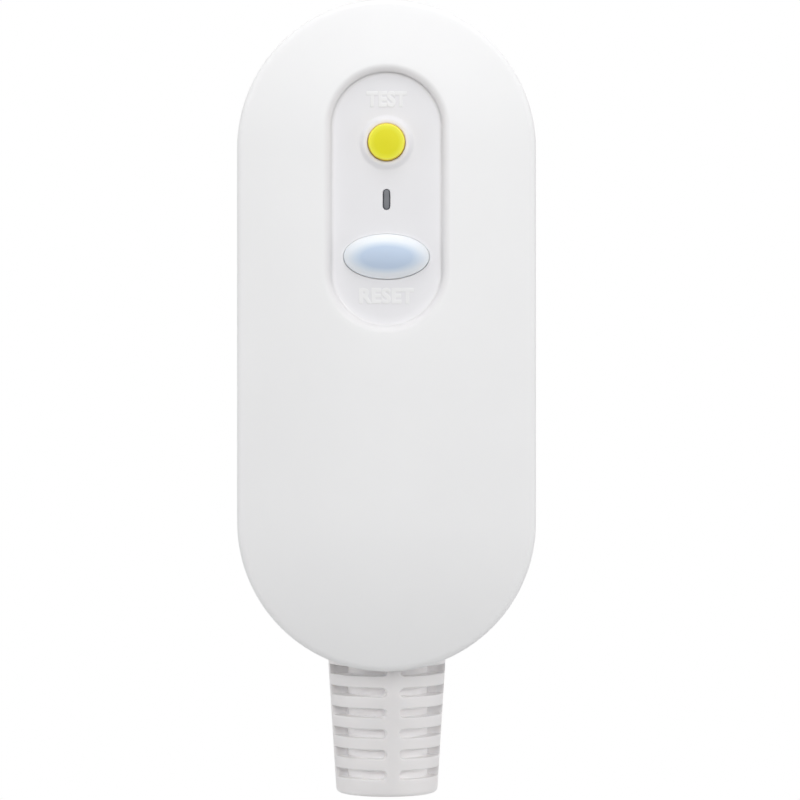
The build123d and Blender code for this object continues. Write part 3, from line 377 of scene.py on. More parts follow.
# %% Directions of the outline's columns
CROWN_RADIUS = 100 * MM
EDGE_ROUND = 1.6 * MM
WALL = 2 * MM
PARTING_DEPTH = 18.5 * MM
PARTING_GROOVE = 0.3 * MM
TONGUE_POCKET = 1.65 * MM
RECESS_RADIUS = 9.6 * MM
RECESS_CENTRE_Z = LENS_Z
FLOOR_DEPTH = 34.5 * MM
RIM_ROUND = 1.4 * MM
FLOOR_ROUND = 0.5 * MM
SLEEVE_HOLE = 10.55 * MM
UPPER_STEPS, SIDE_STEPS, LOWER_SIDE_STEPS, HOLE_STEPS = 64, 62, 22, 36

upper_arc = np.linspace(0, np.pi, UPPER_STEPS, endpoint=False)
hole_x = -SLEEVE_HOLE * np.cos(np.linspace(0, np.pi, HOLE_STEPS + 1))
hole_arc = 2 * np.pi - np.arccos(hole_x / BODY_RADIUS)
lower_left = np.linspace(np.pi, hole_arc[0], LOWER_SIDE_STEPS, endpoint=False)
lower_right = np.linspace(hole_arc[-1], 2 * np.pi, LOWER_SIDE_STEPS + 1)[1:-1]
lower_arc = np.concatenate([lower_left, hole_arc, lower_right])
LOWER_STEPS = len(lower_arc)
along = np.linspace(0, 1, SIDE_STEPS, endpoint=False)
angle = np.concatenate([
    upper_arc, np.full(SIDE_STEPS, np.pi), lower_arc, np.zeros(SIDE_STEPS),
])
ROW_DIRECTION = np.stack([np.cos(angle), np.sin(angle)], 1)
SPINE_SHARE = np.concatenate([np.ones(UPPER_STEPS), 1 - along, np.zeros(LOWER_STEPS), along])
COLUMNS = len(SPINE_SHARE)
print("columns round the cover", COLUMNS)

# %% [markdown]
# A row of the mesh is a stadium of any radius about the spine or a part of it. Its depth
# comes from the crown, and near the sleeve's hole it is lifted to the hole's edge.

# %% Rows of the outline
def stadium_row(low_z, high_z, radius):
    """Closed row: a point between the two end centres plus the radius along a direction."""
    row = ROW_DIRECTION * np.reshape(radius, (-1, 1))
    return row + np.stack([np.zeros(COLUMNS), low_z + (high_z - low_z) * SPINE_SHARE], 1)


def crown_depth(row, drop):
    """Depth of the crowned front: a circle across the spine, lowered by drop."""
    nearest_z = np.clip(row[:, 1], LOW_CENTRE_Z, TOP_CENTRE_Z)
    distance = np.hypot(row[:, 0], row[:, 1] - nearest_z)
    return BODY_DEPTH - CROWN_RADIUS + np.sqrt((CROWN_RADIUS - drop) ** 2 - distance**2)


def at_depth(row, depth):
    """Points in space from an (x, z) row and its depth towards the front."""
    return np.stack([row[:, 0], -np.broadcast_to(depth, len(row)), row[:, 1]], 1)


def above_hole(row, depth):
    """The same depth, raised to the edge of the round sleeve hole where that is higher."""
    in_hole = np.where(row[:, 1] < LOW_CENTRE_Z, SLEEVE_HOLE**2 - row[:, 0] ** 2, 0)
    return np.maximum(depth, PARTING_DEPTH + np.sqrt(np.maximum(in_hole, 0)))


trial = stadium_row(LOW_CENTRE_Z, TOP_CENTRE_Z, BODY_RADIUS)
print("crown falls", round(float(np.ptp(crown_depth(trial, 0)) / MM), 3), "mm along the edge")

# %% [markdown]
# The shell has two skins. The outer skin runs from the parting line up the side wall,
# round the edge, over the crown, round the rim and down to the floor. The inner skin does
# the same two millimetres further in, so the wall has its real thickness. Both come from
# the same functions, and the side wall with its edge is the first. Each rounding is a
# ball that touches the two faces on either side of it.

# %% Side wall and rounded edge of a skin
WALL_STEPS, EDGE_STEPS = 6, 10


def body_row(radius, depth):
    """Row of the body's outline at a radius, kept clear of the sleeve hole."""
    row = stadium_row(LOW_CENTRE_Z, TOP_CENTRE_Z, radius)
    return at_depth(row, above_hole(row, depth))


def edge_rows(inset, rounding, start_depth):
    """Side wall and rounded edge: the ball's centre is one rounding from both faces."""
    wall_radius = BODY_RADIUS - inset
    ball = wall_radius - rounding
    crown = CROWN_RADIUS - inset - rounding
    ball_depth = BODY_DEPTH - CROWN_RADIUS + np.sqrt(crown**2 - ball**2)
    first = body_row(wall_radius, start_depth)
    last = body_row(wall_radius, ball_depth)
    rows = [first + (last - first) * share for share in np.linspace(0, 1, WALL_STEPS)]
    for turn in np.linspace(0, np.arccos(ball / crown), EDGE_STEPS)[1:]:
        radius, depth = ball + rounding * np.cos(turn), ball_depth + rounding * np.sin(turn)
        rows.append(at_depth(stadium_row(LOW_CENTRE_Z, TOP_CENTRE_Z, radius), depth))
    return rows


print("rows of the edge", len(edge_rows(0, EDGE_ROUND, PARTING_DEPTH)))

# %% [markdown]
# The recess's rim is rounded in the same way. The crown slopes away from it by another
# angle in every column, so the slope is measured with two rows close together, and the
# ball's centre and its turn follow from it. Below it the wall goes straight down and
# turns into the floor with a smaller rounding.

# %% Rim and wall of the recess
RIM_STEPS, FLOOR_STEPS = 12, 6
SLOPE_STEP = 0.1 * MM


def rim_rows(grow, drop, rounding, floor_depth, floor_rounding):
    """Rim, recess wall and floor rounding: balls that follow the crown's slope."""
    ends = (RECESS_CENTRE_Z - RECESS_HALF_SPINE, RECESS_CENTRE_Z + RECESS_HALF_SPINE)
    radius = RECESS_RADIUS + grow
    ball_row = stadium_row(*ends, radius + rounding)
    near = crown_depth(stadium_row(*ends, radius + rounding - SLOPE_STEP), drop)
    far = crown_depth(stadium_row(*ends, radius + rounding + SLOPE_STEP), drop)
    slope = np.arctan2(near - far, 2 * SLOPE_STEP)
    ball_depth = crown_depth(ball_row, drop) - rounding / np.cos(slope)
    rows = []
    for share in np.linspace(1, 0, RIM_STEPS):
        turn = share * (np.pi / 2 + slope)
        row = stadium_row(*ends, radius + rounding - rounding * np.cos(turn))
        rows.append(at_depth(row, ball_depth + rounding * np.sin(turn)))
    for turn in np.linspace(0, np.pi / 2, FLOOR_STEPS):
        row = stadium_row(*ends, radius - floor_rounding * (1 - np.cos(turn)))
        rows.append(at_depth(row, floor_depth + floor_rounding * (1 - np.sin(turn))))
    return rows


print("rows of the rim", len(rim_rows(0, 0, RIM_ROUND, FLOOR_DEPTH, FLOOR_ROUND)))

# %% [markdown]
# Between the edge and the rim the crown's rows are straight blends of the two. The skins
# are then joined by three rows along the parting line: a narrow groove outside, a flat
# face, and a pocket for the rear cover's tongue.

# %% Both skins of the front cover
CROWN_STEPS = 30
INNER_FLOOR = FLOOR_DEPTH - WALL
INNER_EDGE_ROUND, INNER_RIM_ROUND, INNER_FLOOR_ROUND = 0.5 * MM, 0.4 * MM, 0.3 * MM


def skin_rows(inset, edge_rounding, start_depth, grow, rim_rounding, floor_depth, floor_rounding):
    """All rows of one skin; the crown's rows lie between the edge and the rim."""
    outside = edge_rows(inset, edge_rounding, start_depth)
    inside = rim_rows(grow, inset, rim_rounding, floor_depth, floor_rounding)
    start, end = outside[-1][:, [0, 2]], inside[0][:, [0, 2]]
    crown = []
    for share in np.linspace(0, 1, CROWN_STEPS)[1:-1]:
        row = start + (end - start) * share
        crown.append(at_depth(row, crown_depth(row, inset)))
    return outside + crown + inside


outer_skin = skin_rows(
    0, EDGE_ROUND, PARTING_DEPTH + PARTING_GROOVE, 0, RIM_ROUND, FLOOR_DEPTH, FLOOR_ROUND
)
inner_skin = skin_rows(
    WALL, INNER_EDGE_ROUND, PARTING_DEPTH + TONGUE_POCKET,
    WALL, INNER_RIM_ROUND, INNER_FLOOR, INNER_FLOOR_ROUND,
)
parting_rows = [
    body_row(BODY_RADIUS - WALL / 2, PARTING_DEPTH + TONGUE_POCKET),
    body_row(BODY_RADIUS - WALL / 2, PARTING_DEPTH),
    body_row(BODY_RADIUS - PARTING_GROOVE, PARTING_DEPTH),
]
cover_rows = np.array(inner_skin[::-1] + parting_rows + outer_skin)
print("cover rows", len(cover_rows))

# %% [markdown]
# The recess's floor has three holes: for the test button, the indicator and the reset
# button. The floor is cut into three cells by two straight lines, one hole in each. A
# cell is a fan of strips between its own outline and its hole's outline, which has one
# point for each point of the cell, seen from the hole's centre.

# %% Outlines of the holes
SLIDE_GAP = 0.055 * MM
LENS_GAP = 0.05 * MM
TEST_RADIUS = 3.23 * MM
COLLAR_RADIUS = 4.9 * MM
COLLAR_HEIGHT = 0.5 * MM
RESET_HALF_LENGTH = 7.45 * MM
RESET_HALF_HEIGHT = 3.9 * MM
LENS_HALF_WIDTH = 0.6 * MM
LENS_HALF_LENGTH = 1.775 * MM
CELL_LINE_STEPS = 24
HIGH_LINE, LOW_LINE = 20, 42


def ellipse_edge(half_length, half_height):
    """Outline of an oval hole: the direction times the ellipse's polar radius."""
    def edge(direction):
        reach = 1 / np.hypot(direction[:, 0] / half_length, direction[:, 1] / half_height)
        return direction * reach[:, None]
    return edge


def slot_edge(half_width, half_length):
    """Outline of a slot with round ends: where a ray from its centre leaves it."""
    def edge(direction):
        straight = half_length - half_width
        side_reach = half_width / np.maximum(np.abs(direction[:, 0]), 1e-9)
        shift = np.abs(direction[:, 1]) * straight
        end_reach = shift + np.sqrt(np.maximum(half_width**2 - straight**2 + shift**2, 0))
        on_side = side_reach * np.abs(direction[:, 1]) <= straight
        return direction * np.where(on_side, side_reach, end_reach)[:, None]
    return edge


def floor_cells(outline):
    """Closed (x, z) outlines of the three cells, from the floor's outline row."""
    points = outline[:, [0, 2]]
    left, right = UPPER_STEPS, UPPER_STEPS + SIDE_STEPS + LOWER_STEPS
    high_left, low_left = left + HIGH_LINE, left + LOW_LINE
    high_right, low_right = right + SIDE_STEPS - HIGH_LINE, right + SIDE_STEPS - LOW_LINE
    share = np.linspace(0, 1, CELL_LINE_STEPS + 1)[1:-1, None]
    high_line = points[high_left] + (points[high_right] - points[high_left]) * share
    low_line = points[low_left] + (points[low_right] - points[low_left]) * share
    top = np.concatenate([points[high_right:], points[: high_left + 1], high_line])
    middle = np.concatenate([
        points[high_left : low_left + 1], low_line,
        points[low_right : high_right + 1], high_line[::-1],
    ])
    bottom = np.concatenate([points[low_left : low_right + 1], low_line[::-1]])
    return top, middle, bottom


print("cells", [len(cell) for cell in floor_cells(cover_rows[-1])])

# %% [markdown]
# Round the test button the floor swells into a soft collar: a slope that runs out into
# the floor like half a cosine wave, a level top and a small lip. The other two holes
# only have the tiny rounding that a mould leaves. So one function makes every
# hole: it takes the cell's outline and a list of rows from the floor to the bore.

# %% Holes with their edges
COLLAR_STEPS, LIP_STEPS, CELL_RINGS = 14, 5, 7
LIP_ROUND = 0.2 * MM
MOUTH_ROUND = 0.1 * MM
COLLAR_SLOPE_SHARE = 0.8


def cell_surface(cell, centre_z, hole_rows, floor_depth):
    """Strips from the cell's outline to the first hole row, then along the hole rows."""
    centre = np.array([0, centre_z])
    ray = cell - centre
    direction = ray / np.linalg.norm(ray, axis=1)[:, None]
    first = centre + hole_rows[0][0](direction)
    rows = [
        at_depth(cell + (first - cell) * share, floor_depth)
        for share in np.linspace(0, 1, CELL_RINGS)[:-1]
    ]
    rows += [at_depth(centre + edge(direction), depth) for edge, depth in hole_rows]
    return np.array(rows), ring_faces(len(rows), len(cell))


def collar_rows():
    """Cosine slope from the collar's foot, level top, quarter-circle lip and bore."""
    bore = TEST_RADIUS + SLIDE_GAP
    rows = []
    for share in np.linspace(0, 1, COLLAR_STEPS):
        radius = COLLAR_RADIUS + (bore + LIP_ROUND - COLLAR_RADIUS) * share
        up = min(share / COLLAR_SLOPE_SHARE, 1)
        rise = COLLAR_HEIGHT * (1 - np.cos(np.pi * up)) / 2
        rows.append((ellipse_edge(radius, radius), FLOOR_DEPTH + rise))
    for turn in np.linspace(0, np.pi / 2, LIP_STEPS)[1:]:
        radius = bore + LIP_ROUND * (1 - np.sin(turn))
        depth = FLOOR_DEPTH + COLLAR_HEIGHT - LIP_ROUND * (1 - np.cos(turn))
        rows.append((ellipse_edge(radius, radius), depth))
    return rows


def mouth_rows(outline, half_length, half_height):
    """Quarter-circle rounding at a hole's mouth."""
    rows = []
    for turn in np.linspace(0, np.pi / 2, LIP_STEPS):
        grow = MOUTH_ROUND * (1 - np.sin(turn))
        depth = FLOOR_DEPTH - MOUTH_ROUND * (1 - np.cos(turn))
        rows.append((outline(half_length + grow, half_height + grow), depth))
    return rows


print("rows of the collar", len(collar_rows()))

# %% [markdown]
# Inside, four hollow posts take the cover's screws, and a rib with a round notch holds
# the sleeve's groove. They end inside the crown's wall. A post is a turned grid, and the
# rib is a strip with a square section that follows the notch from one foot to the other.

# %% Posts and rib inside the cover
POST_X = (-14.98 * MM, 14.98 * MM)
POST_Z = (12 * MM, -77 * MM)
POST_RADIUS = 4.2 * MM
POST_TOP = 33.8 * MM
PILOT_RADIUS = 1.5 * MM
PILOT_END = 29 * MM
RIB_HALF_WIDTH = 12.4 * MM
RIB_TOP = 33.9 * MM
RIB_LOW_Z, RIB_HIGH_Z = -84.2 * MM, -82.0 * MM
NOTCH_RADIUS = 8.65 * MM
POST_STEPS, NOTCH_STEPS = 40, 32


def screw_post(x, z):
    """Closed turned grid: the pilot hole's end and wall, then the post's outside and top."""
    radius = np.array([0, PILOT_RADIUS, PILOT_RADIUS, POST_RADIUS, POST_RADIUS, 0])[:, None]
    depth = np.array([PILOT_END, PILOT_END, PARTING_DEPTH, PARTING_DEPTH, POST_TOP, POST_TOP])
    turn = np.linspace(0, 2 * np.pi, POST_STEPS, endpoint=False)
    front = np.broadcast_to(-depth[:, None], (len(depth), POST_STEPS))
    points = np.stack([x + radius * np.cos(turn), front, z + radius * np.sin(turn)], -1)
    return points, ring_faces(len(depth), POST_STEPS)


def sleeve_rib():
    """Notch and outer edge at equal angles, at both heights, with a face over each foot."""
    corner = np.arctan2(RIB_TOP - PARTING_DEPTH, RIB_HALF_WIDTH)
    turn = np.unique(np.concatenate([np.linspace(0, np.pi, NOTCH_STEPS), [corner, np.pi - corner]]))
    way = np.stack([np.cos(turn), np.sin(turn)], -1)
    reach = np.minimum(
        RIB_HALF_WIDTH / np.maximum(np.abs(way[:, 0]), 1e-9),
        (RIB_TOP - PARTING_DEPTH) / np.maximum(way[:, 1], 1e-9),
    )[:, None]
    notch, outer = way * NOTCH_RADIUS, way * reach
    section = [(notch, RIB_LOW_Z), (outer, RIB_LOW_Z), (outer, RIB_HIGH_Z), (notch, RIB_HIGH_Z)]
    points = np.stack([
        np.stack([edge[:, 0], -PARTING_DEPTH - edge[:, 1], np.full(len(turn), z)], -1)
        for edge, z in section
    ], 1)
    last = 4 * (len(turn) - 1)
    feet = np.array([[0, 1, 2, 3], [last, last + 1, last + 2, last + 3]])
    return points, np.concatenate([ring_faces(len(turn), 4), feet])


print("post points", screw_post(0, 0)[0].shape, "rib points", sleeve_rib()[0].shape)

# %% [markdown]
# Now the cover is put together from the shell's rows, its posts and rib, and the three
# cells. Each cell is a front surface, a rear surface and the bore's wall between them.

# %% Front cover
test_bore = (TEST_RADIUS + SLIDE_GAP,) * 2
lens_bore = (LENS_HALF_WIDTH + LENS_GAP, LENS_HALF_LENGTH + LENS_GAP)
reset_bore = (RESET_HALF_LENGTH + SLIDE_GAP, RESET_HALF_HEIGHT + SLIDE_GAP)
holes = [
    (TEST_Z, ellipse_edge, test_bore, collar_rows()),
    (LENS_Z, slot_edge, lens_bore, mouth_rows(slot_edge, *lens_bore)),
    (RESET_Z, ellipse_edge, reset_bore, mouth_rows(ellipse_edge, *reset_bore)),
]
cover_surfaces = [(cover_rows, ring_faces(len(cover_rows), COLUMNS))]
cover_surfaces += [screw_post(x, z) for x in POST_X for z in POST_Z] + [sleeve_rib()]
cells = zip(floor_cells(outer_skin[-1]), floor_cells(inner_skin[-1]), holes)
for outer_cell, inner_cell, (centre_z, outline, bore, front_rows) in cells:
    front = cell_surface(outer_cell, centre_z, front_rows, FLOOR_DEPTH)
    rear = cell_surface(inner_cell, centre_z, [(outline(*bore), INNER_FLOOR)], INNER_FLOOR)
    bore_wall = np.array([front[0][-1], rear[0][-1]])
    cover_surfaces += [front, rear, (bore_wall, ring_faces(2, len(outer_cell)))]
make_piece(
    "front_cover_skin", cover_surfaces, recessed_plastic, "housing", ["front_cover"]
)

# %% [markdown]
# Two plain words on the recess's floor say what the buttons do, as on and off would on a
# switch. They are moulded with the cover and stand 0.1 mm proud. A text curve gives the
# letters, and numpy fits its mesh to the word's width and height.

# %% Words on the recess floor
WORD_RISE = 0.1 * MM
WORD_SINK = 0.05 * MM
WORD_HEIGHT = 2.8 * MM
LETTER_SETTINGS = {
    "space_character": 1.08, "resolution_u": 6, "offset": 0.02,
    "extrude": 0.04, "bevel_depth": 0.035, "bevel_resolution": 2,
}
# Text, height of its middle and width of each word.
WORDS = {
    "test_word": ("TEST", 8.4 * MM, 7.0 * MM),
    "reset_word": ("RESET", -25.7 * MM, 9.55 * MM),
}


def raised_word(name, text, centre_z, width):
    """Piece with the letters of a text curve, scaled along each axis into their box."""
    curve = bpy.data.curves.new(name, "FONT")
    curve.body = text
    for setting, value in LETTER_SETTINGS.items():
        setattr(curve, setting, value)
    holder = bpy.data.objects.new(name + "_curve", curve)
    scene.collection.objects.link(holder)
    mesh = bpy.data.meshes.new_from_object(holder)
    bpy.data.objects.remove(holder)
    points = np.empty(len(mesh.vertices) * 3)
    mesh.vertices.foreach_get("co", points)
    points = points.reshape(-1, 3)
    low, high = points.min(0), points.max(0)
    share = (points - low) / (high - low)
    depth = FLOOR_DEPTH - WORD_SINK + (WORD_RISE + WORD_SINK) * share[:, 2]
    x, z = width * (share[:, 0] - 0.5), centre_z + WORD_HEIGHT * (share[:, 1] - 0.5)
    faces = [tuple(face.vertices) for face in mesh.polygons]
    make_piece(
        name, [(np.stack([x, -depth, z], -1), faces)], cover_plastic, "housing",
        smooth_angle=35,
    )


for word_name, word in WORDS.items():
    raised_word(word_name, *word)

# %% [markdown]
# Buttons are bodies of revolution, one of them stretched sideways into an oval. Their
# shape is a list of rows, each with a half length, a half height and a depth, carried
# round the button's axis. Rows at zero size close the two poles.

# %% Turned and stretched bodies
TURN_STEPS = 96
QUARTER_TURN = np.linspace(0, np.pi / 2, 7)


def turned_body(rows, centre_z, steps=TURN_STEPS):
    """Grid of a turned body: every row is an ellipse round the axis at its own depth."""
    rows = np.asarray(rows, float)
    turn = np.linspace(0, 2 * np.pi, steps, endpoint=False)
    half_length, half_height, depth = rows.T[:, :, None]
    front = np.broadcast_to(-depth, (len(rows), steps))
    x, z = half_length * np.cos(turn), centre_z + half_height * np.sin(turn)
    return np.stack([x, front, z], -1), ring_faces(len(rows), steps)


print("columns round a turned body", TURN_STEPS)

# %% [markdown]
# The test button is a yellow cap that stands above its collar. Its face is very slightly
# domed and its edge is rounded. Behind the cover it has a flange that keeps it in, and a
# stem that presses on its leaf spring.

# %% Shape of the test button
TEST_EDGE_ROUND = 0.35 * MM
TEST_DOME = 0.18 * MM
FLANGE_THICKNESS = 1.0 * MM
STEM_RADIUS = 1.5 * MM
TEST_FLANGE_RADIUS = 4.4 * MM
DOME_STEPS = 12

flange_depth = INNER_FLOOR - FLANGE_THICKNESS
test_rows = [(r, r, depth) for r, depth in [
    (0, -test_high.y), (STEM_RADIUS, -test_high.y), (STEM_RADIUS, flange_depth),
    (TEST_FLANGE_RADIUS, flange_depth), (TEST_FLANGE_RADIUS, INNER_FLOOR),
    (TEST_RADIUS, INNER_FLOOR),
]]
cap_shoulder = -test_low.y - TEST_DOME - TEST_EDGE_ROUND
for turn in QUARTER_TURN:
    radius = TEST_RADIUS - TEST_EDGE_ROUND * (1 - np.cos(turn))
    test_rows.append((radius, radius, cap_shoulder + TEST_EDGE_ROUND * np.sin(turn)))
for share in np.linspace(1, 0, DOME_STEPS)[1:]:
    radius = (TEST_RADIUS - TEST_EDGE_ROUND) * share
    test_rows.append((radius, radius, -test_low.y - TEST_DOME * share**2))
print("test button rows", len(test_rows))

# %% [markdown]
# Translucent yellow plastic is given a painted highlight in a band inside the edge and
# painted shade, more amber, at the edge itself, where it turns away. So the colour is a
# ramp over the distance from the axis. A little scattering below the surface softens it.

# %% Test button
def radial_distance(tree, centre, half_length, half_height):
    """Distance from a button's axis: 1 on the ellipse with the given half sizes."""
    return distance_from(tree, centre, (1 / half_length, 0, 1 / half_height))


def yellow_plastic():
    """Yellow translucent plastic: painted highlight in a band inside the edge, painted amber shade
    at the edge.
    """
    material, tree, shader = new_material("yellow_button_plastic", {
        "Subsurface Weight": 0.25,
        "Subsurface Radius": (1.0, 0.8, 0.1),
        "Subsurface Scale": 0.6 * MM,
        "Specular IOR Level": 0.12,
    })
    distance = radial_distance(tree, (0, 0, TEST_Z), TEST_RADIUS, TEST_RADIUS)
    # The lighter stops near 0.9 are a painted highlight, and the amber ones at the edge are painted
    # shade.
    stops = [
        (0.0, (0.72, 0.675, 0.004)), (0.62, (0.74, 0.70, 0.012)), (0.86, (0.80, 0.78, 0.05)),
        (0.93, (0.84, 0.82, 0.12)), (0.975, (0.78, 0.64, 0.05)), (1.0, (0.66, 0.42, 0.03)),
    ]
    paint(tree, shader, distance, stops)
    grained(tree, shader, object_point(tree), 2500, height=2e-6, roughness=0.3, spread=0.04)
    return material


make_piece(
    "test_button_cap", [turned_body(test_rows, TEST_Z)], yellow_plastic(),
    "test_button", ["test_button"], smooth_angle=50,
)

# %% [markdown]
# The reset button is an oval dome. The dome's height falls with a power of the distance
# from its top, and its edge is rounded over. Like the test button it has a flange, and
# its long stem ends in a thin tip inside its spring.

# %% Shape of the reset button
RESET_DOME = 1.6 * MM
RESET_TIP_RADIUS = 1.2 * MM
RESET_TIP_LENGTH = 4.2 * MM
RESET_FLANGE_OVERHANG = 1.2 * MM
DOME_EDGE_SHARE = 0.96
DOME_POWER = 2.5
DOME_EDGE_DROP = 0.15 * MM
RESET_DOME_STEPS, RESET_TURN_STEPS = 20, 144

cap_stretch = RESET_HALF_LENGTH / RESET_HALF_HEIGHT
flange_height = RESET_HALF_HEIGHT + RESET_FLANGE_OVERHANG
tip_start = -reset_high.y + RESET_TIP_LENGTH
dome_foot = -reset_low.y - RESET_DOME
reset_rows = [
    (0, 0, -reset_high.y), (RESET_TIP_RADIUS, RESET_TIP_RADIUS, -reset_high.y),
    (RESET_TIP_RADIUS, RESET_TIP_RADIUS, tip_start), (STEM_RADIUS, STEM_RADIUS, tip_start),
    (STEM_RADIUS, STEM_RADIUS, flange_depth),
    (flange_height * cap_stretch, flange_height, flange_depth),
    (flange_height * cap_stretch, flange_height, INNER_FLOOR),
    (RESET_HALF_LENGTH, RESET_HALF_HEIGHT, INNER_FLOOR),
    (RESET_HALF_LENGTH, RESET_HALF_HEIGHT, dome_foot - DOME_EDGE_DROP),
]
edge_height = RESET_DOME * (1 - DOME_EDGE_SHARE**DOME_POWER)
for turn in QUARTER_TURN[1:-1]:
    share = DOME_EDGE_SHARE + (1 - DOME_EDGE_SHARE) * np.cos(turn)
    depth = dome_foot - DOME_EDGE_DROP + (edge_height + DOME_EDGE_DROP) * np.sin(turn)
    reset_rows.append((RESET_HALF_LENGTH * share, RESET_HALF_HEIGHT * share, depth))
for share in np.linspace(DOME_EDGE_SHARE, 0, RESET_DOME_STEPS):
    depth = dome_foot + RESET_DOME * (1 - share**DOME_POWER)
    reset_rows.append((RESET_HALF_LENGTH * share, RESET_HALF_HEIGHT * share, depth))
print("reset button rows", len(reset_rows))

# %% [markdown]
# The plastic is milky: the thick middle looks pale blue and the thin rim nearly white.
# The ramp runs over an oval smaller than the button, a little below its middle, and a
# faint noise keeps the border of the blue from looking drawn.

# %% Reset button
# Centre, half length and half height of the blue.
BLUE_CORE = ((0, 0, RESET_Z - 0.2 * MM), 5.4 * MM, 2.3 * MM)


def milky_blue_plastic():
    """Milky plastic: pale blue core inside a nearly white rim, softly blended."""
    material, tree, shader = new_material("milky_blue_plastic", {
        "Roughness": 0.4,
        "Specular IOR Level": 0.25,
        "Subsurface Weight": 0.3,
        "Subsurface Radius": (0.8, 0.9, 1.0),
        "Subsurface Scale": 0.5 * MM,
    })
    distance = radial_distance(tree, *BLUE_CORE)
    wavy = noise(tree, object_point(tree), 350)
    mixed = math_node(tree, "MULTIPLY", distance, remap(tree, wavy, 0.97, 1.03))
    half = remap(tree, mixed, 0, 1, 0, 2)
    stops = [
        (0.0, (0.495, 0.595, 0.74)), (0.40, (0.52, 0.62, 0.76)), (0.50, (0.64, 0.72, 0.82)),
        (0.62, (0.78, 0.82, 0.87)), (0.80, (0.83, 0.85, 0.88)),
    ]
    paint(tree, shader, half, stops)
    bump(tree, noise(tree, object_point(tree), 2500), 1.5e-6, shader)
    return material


make_piece(
    "reset_button_cap", [turned_body(reset_rows, RESET_Z, RESET_TURN_STEPS)], milky_blue_plastic(),
    "reset_button", ["reset_button"], smooth_angle=50,
)

# %% [markdown]
# The indicator is a small light pipe of smoky grey plastic. Its front is flush with the
# floor, and its edge is rounded a little, which draws a darker line round it. The grid
# is the same slot outline as its hole's, carried from the lamp side to the front.

# %% Shape of the indicator window
LENS_RIM = 0.8 * MM
LENS_RIM_THICKNESS = 1.0 * MM
LENS_EDGE_ROUND = 0.16 * MM
LENS_TURN_STEPS, LENS_EDGE_STEPS = 64, 6

lens_turn = np.linspace(0, 2 * np.pi, LENS_TURN_STEPS, endpoint=False)
lens_direction = np.stack([np.cos(lens_turn), np.sin(lens_turn)], 1)


def lens_row(grow, depth, share=1.0):
    """Slot outline of the window, grown all round and drawn in towards its middle."""
    outline = slot_edge(LENS_HALF_WIDTH + grow, LENS_HALF_LENGTH + grow)(lens_direction)
    return at_depth(outline * share + np.array([0, LENS_Z]), depth)


lens_front = -lens_low.y
rim_start = INNER_FLOOR - LENS_RIM_THICKNESS
lens_points = [
    lens_row(0, -lens_high.y, 0), lens_row(0, -lens_high.y), lens_row(0, rim_start),
    lens_row(LENS_RIM, rim_start), lens_row(LENS_RIM, INNER_FLOOR), lens_row(0, INNER_FLOOR),
]
for turn in np.linspace(0, np.pi / 2, LENS_EDGE_STEPS):
    grow = -LENS_EDGE_ROUND * (1 - np.cos(turn))
    lens_points.append(lens_row(grow, lens_front - LENS_EDGE_ROUND * (1 - np.sin(turn))))
lens_points += [lens_row(-LENS_EDGE_ROUND, lens_front, share) for share in (0.5, 0)]
print("rows of the window", len(lens_points))

# %% [markdown]
# The window is painted darker along its two long sides, as shade where the smoky plastic
# turns down into its hole. A ramp over the distance from the middle does that. It is
# stretched so far along the window that only the distance sideways counts.

# %% Indicator window
def smoky_plastic():
    """Smoky grey window plastic: glossy, with painted shade towards its two long edges."""
    material, tree, shader = new_material(
        "smoky_window_plastic", {"Roughness": 0.25, "Specular IOR Level": 0.35}
    )
    distance = radial_distance(tree, (0, 0, LENS_Z), LENS_HALF_WIDTH, 10 * LENS_HALF_LENGTH)
    # The dark last stop is painted shade along the long edges.
    stops = [
        (0.0, (0.105, 0.111, 0.126)), (0.55, (0.095, 0.101, 0.116)), (0.9, (0.05, 0.054, 0.066)),
    ]
    paint(tree, shader, distance, stops)
    bump(tree, noise(tree, object_point(tree), 1800), 2e-6, shader)
    return material


lens_faces = ring_faces(len(lens_points), LENS_TURN_STEPS)
make_piece(
    "indicator_window", [(np.array(lens_points), lens_faces)], smoky_plastic(),
    "housing", ["indicator_lens"], smooth_angle=50,
)

# %% [markdown]
# The sleeve is soft plastic, slit so that it bends evenly. From the front and the rear
# six pairs of slots are cut down to a round core. A narrow web stays in the middle and
# a fin at each side. The surface is a grid of columns round the sleeve and rows along
# it. Each slot edge is a grid line: the rows near a slot are drawn in to its round end,
# so the edge stays crisp. Only one quarter is worked out, and the other three mirror it.

# %% Columns of one quarter of the sleeve
SLEEVE_TOP_RADIUS = 10.4 * MM
SLEEVE_END_RADIUS = 8.98 * MM
SLEEVE_WALL_Z = LOW_CENTRE_Z - BODY_RADIUS
CORE_RADIUS = 7.2 * MM
HALF_WEB = 1.15 * MM
HALF_FIN = 1.2 * MM
HALF_SLOT = 0.8 * MM
SLOT_MOUTH = 0.22 * MM
SLOT_END_X = HALF_WEB + HALF_SLOT
FRONT_SPREAD = np.radians(68)

web_x = np.linspace(0, HALF_WEB - SLOT_MOUTH, 4)
mouth_x = np.linspace(HALF_WEB - SLOT_MOUTH, HALF_WEB, 5)[1:]
round_x = SLOT_END_X - HALF_SLOT * np.cos(np.linspace(0, np.pi / 2, 9))
near_x = np.concatenate([web_x, mouth_x, round_x])
NEAR = len(near_x)
OUTSIDE = len(web_x) + len(mouth_x)
CORE_STEPS, FIN_STEPS, RIM_COLUMNS = 16, 6, 4
core_share = np.linspace(0, 1, CORE_STEPS + 1)[1:]
fin_share = np.linspace(0, 1, FIN_STEPS + 1)[1:]
rim_share = np.linspace(0, 1, RIM_COLUMNS + 1)[1:]
QUARTER = NEAR + CORE_STEPS + FIN_STEPS + RIM_COLUMNS
slot_x = np.concatenate([near_x, np.full(QUARTER - NEAR, SLOT_END_X)])
print("columns in a quarter", QUARTER)

# %% [markdown]
# The outside narrows slightly towards the cable's end. A pocket's floor follows the core
# and then the fin's flat face, and every column has a place on both.

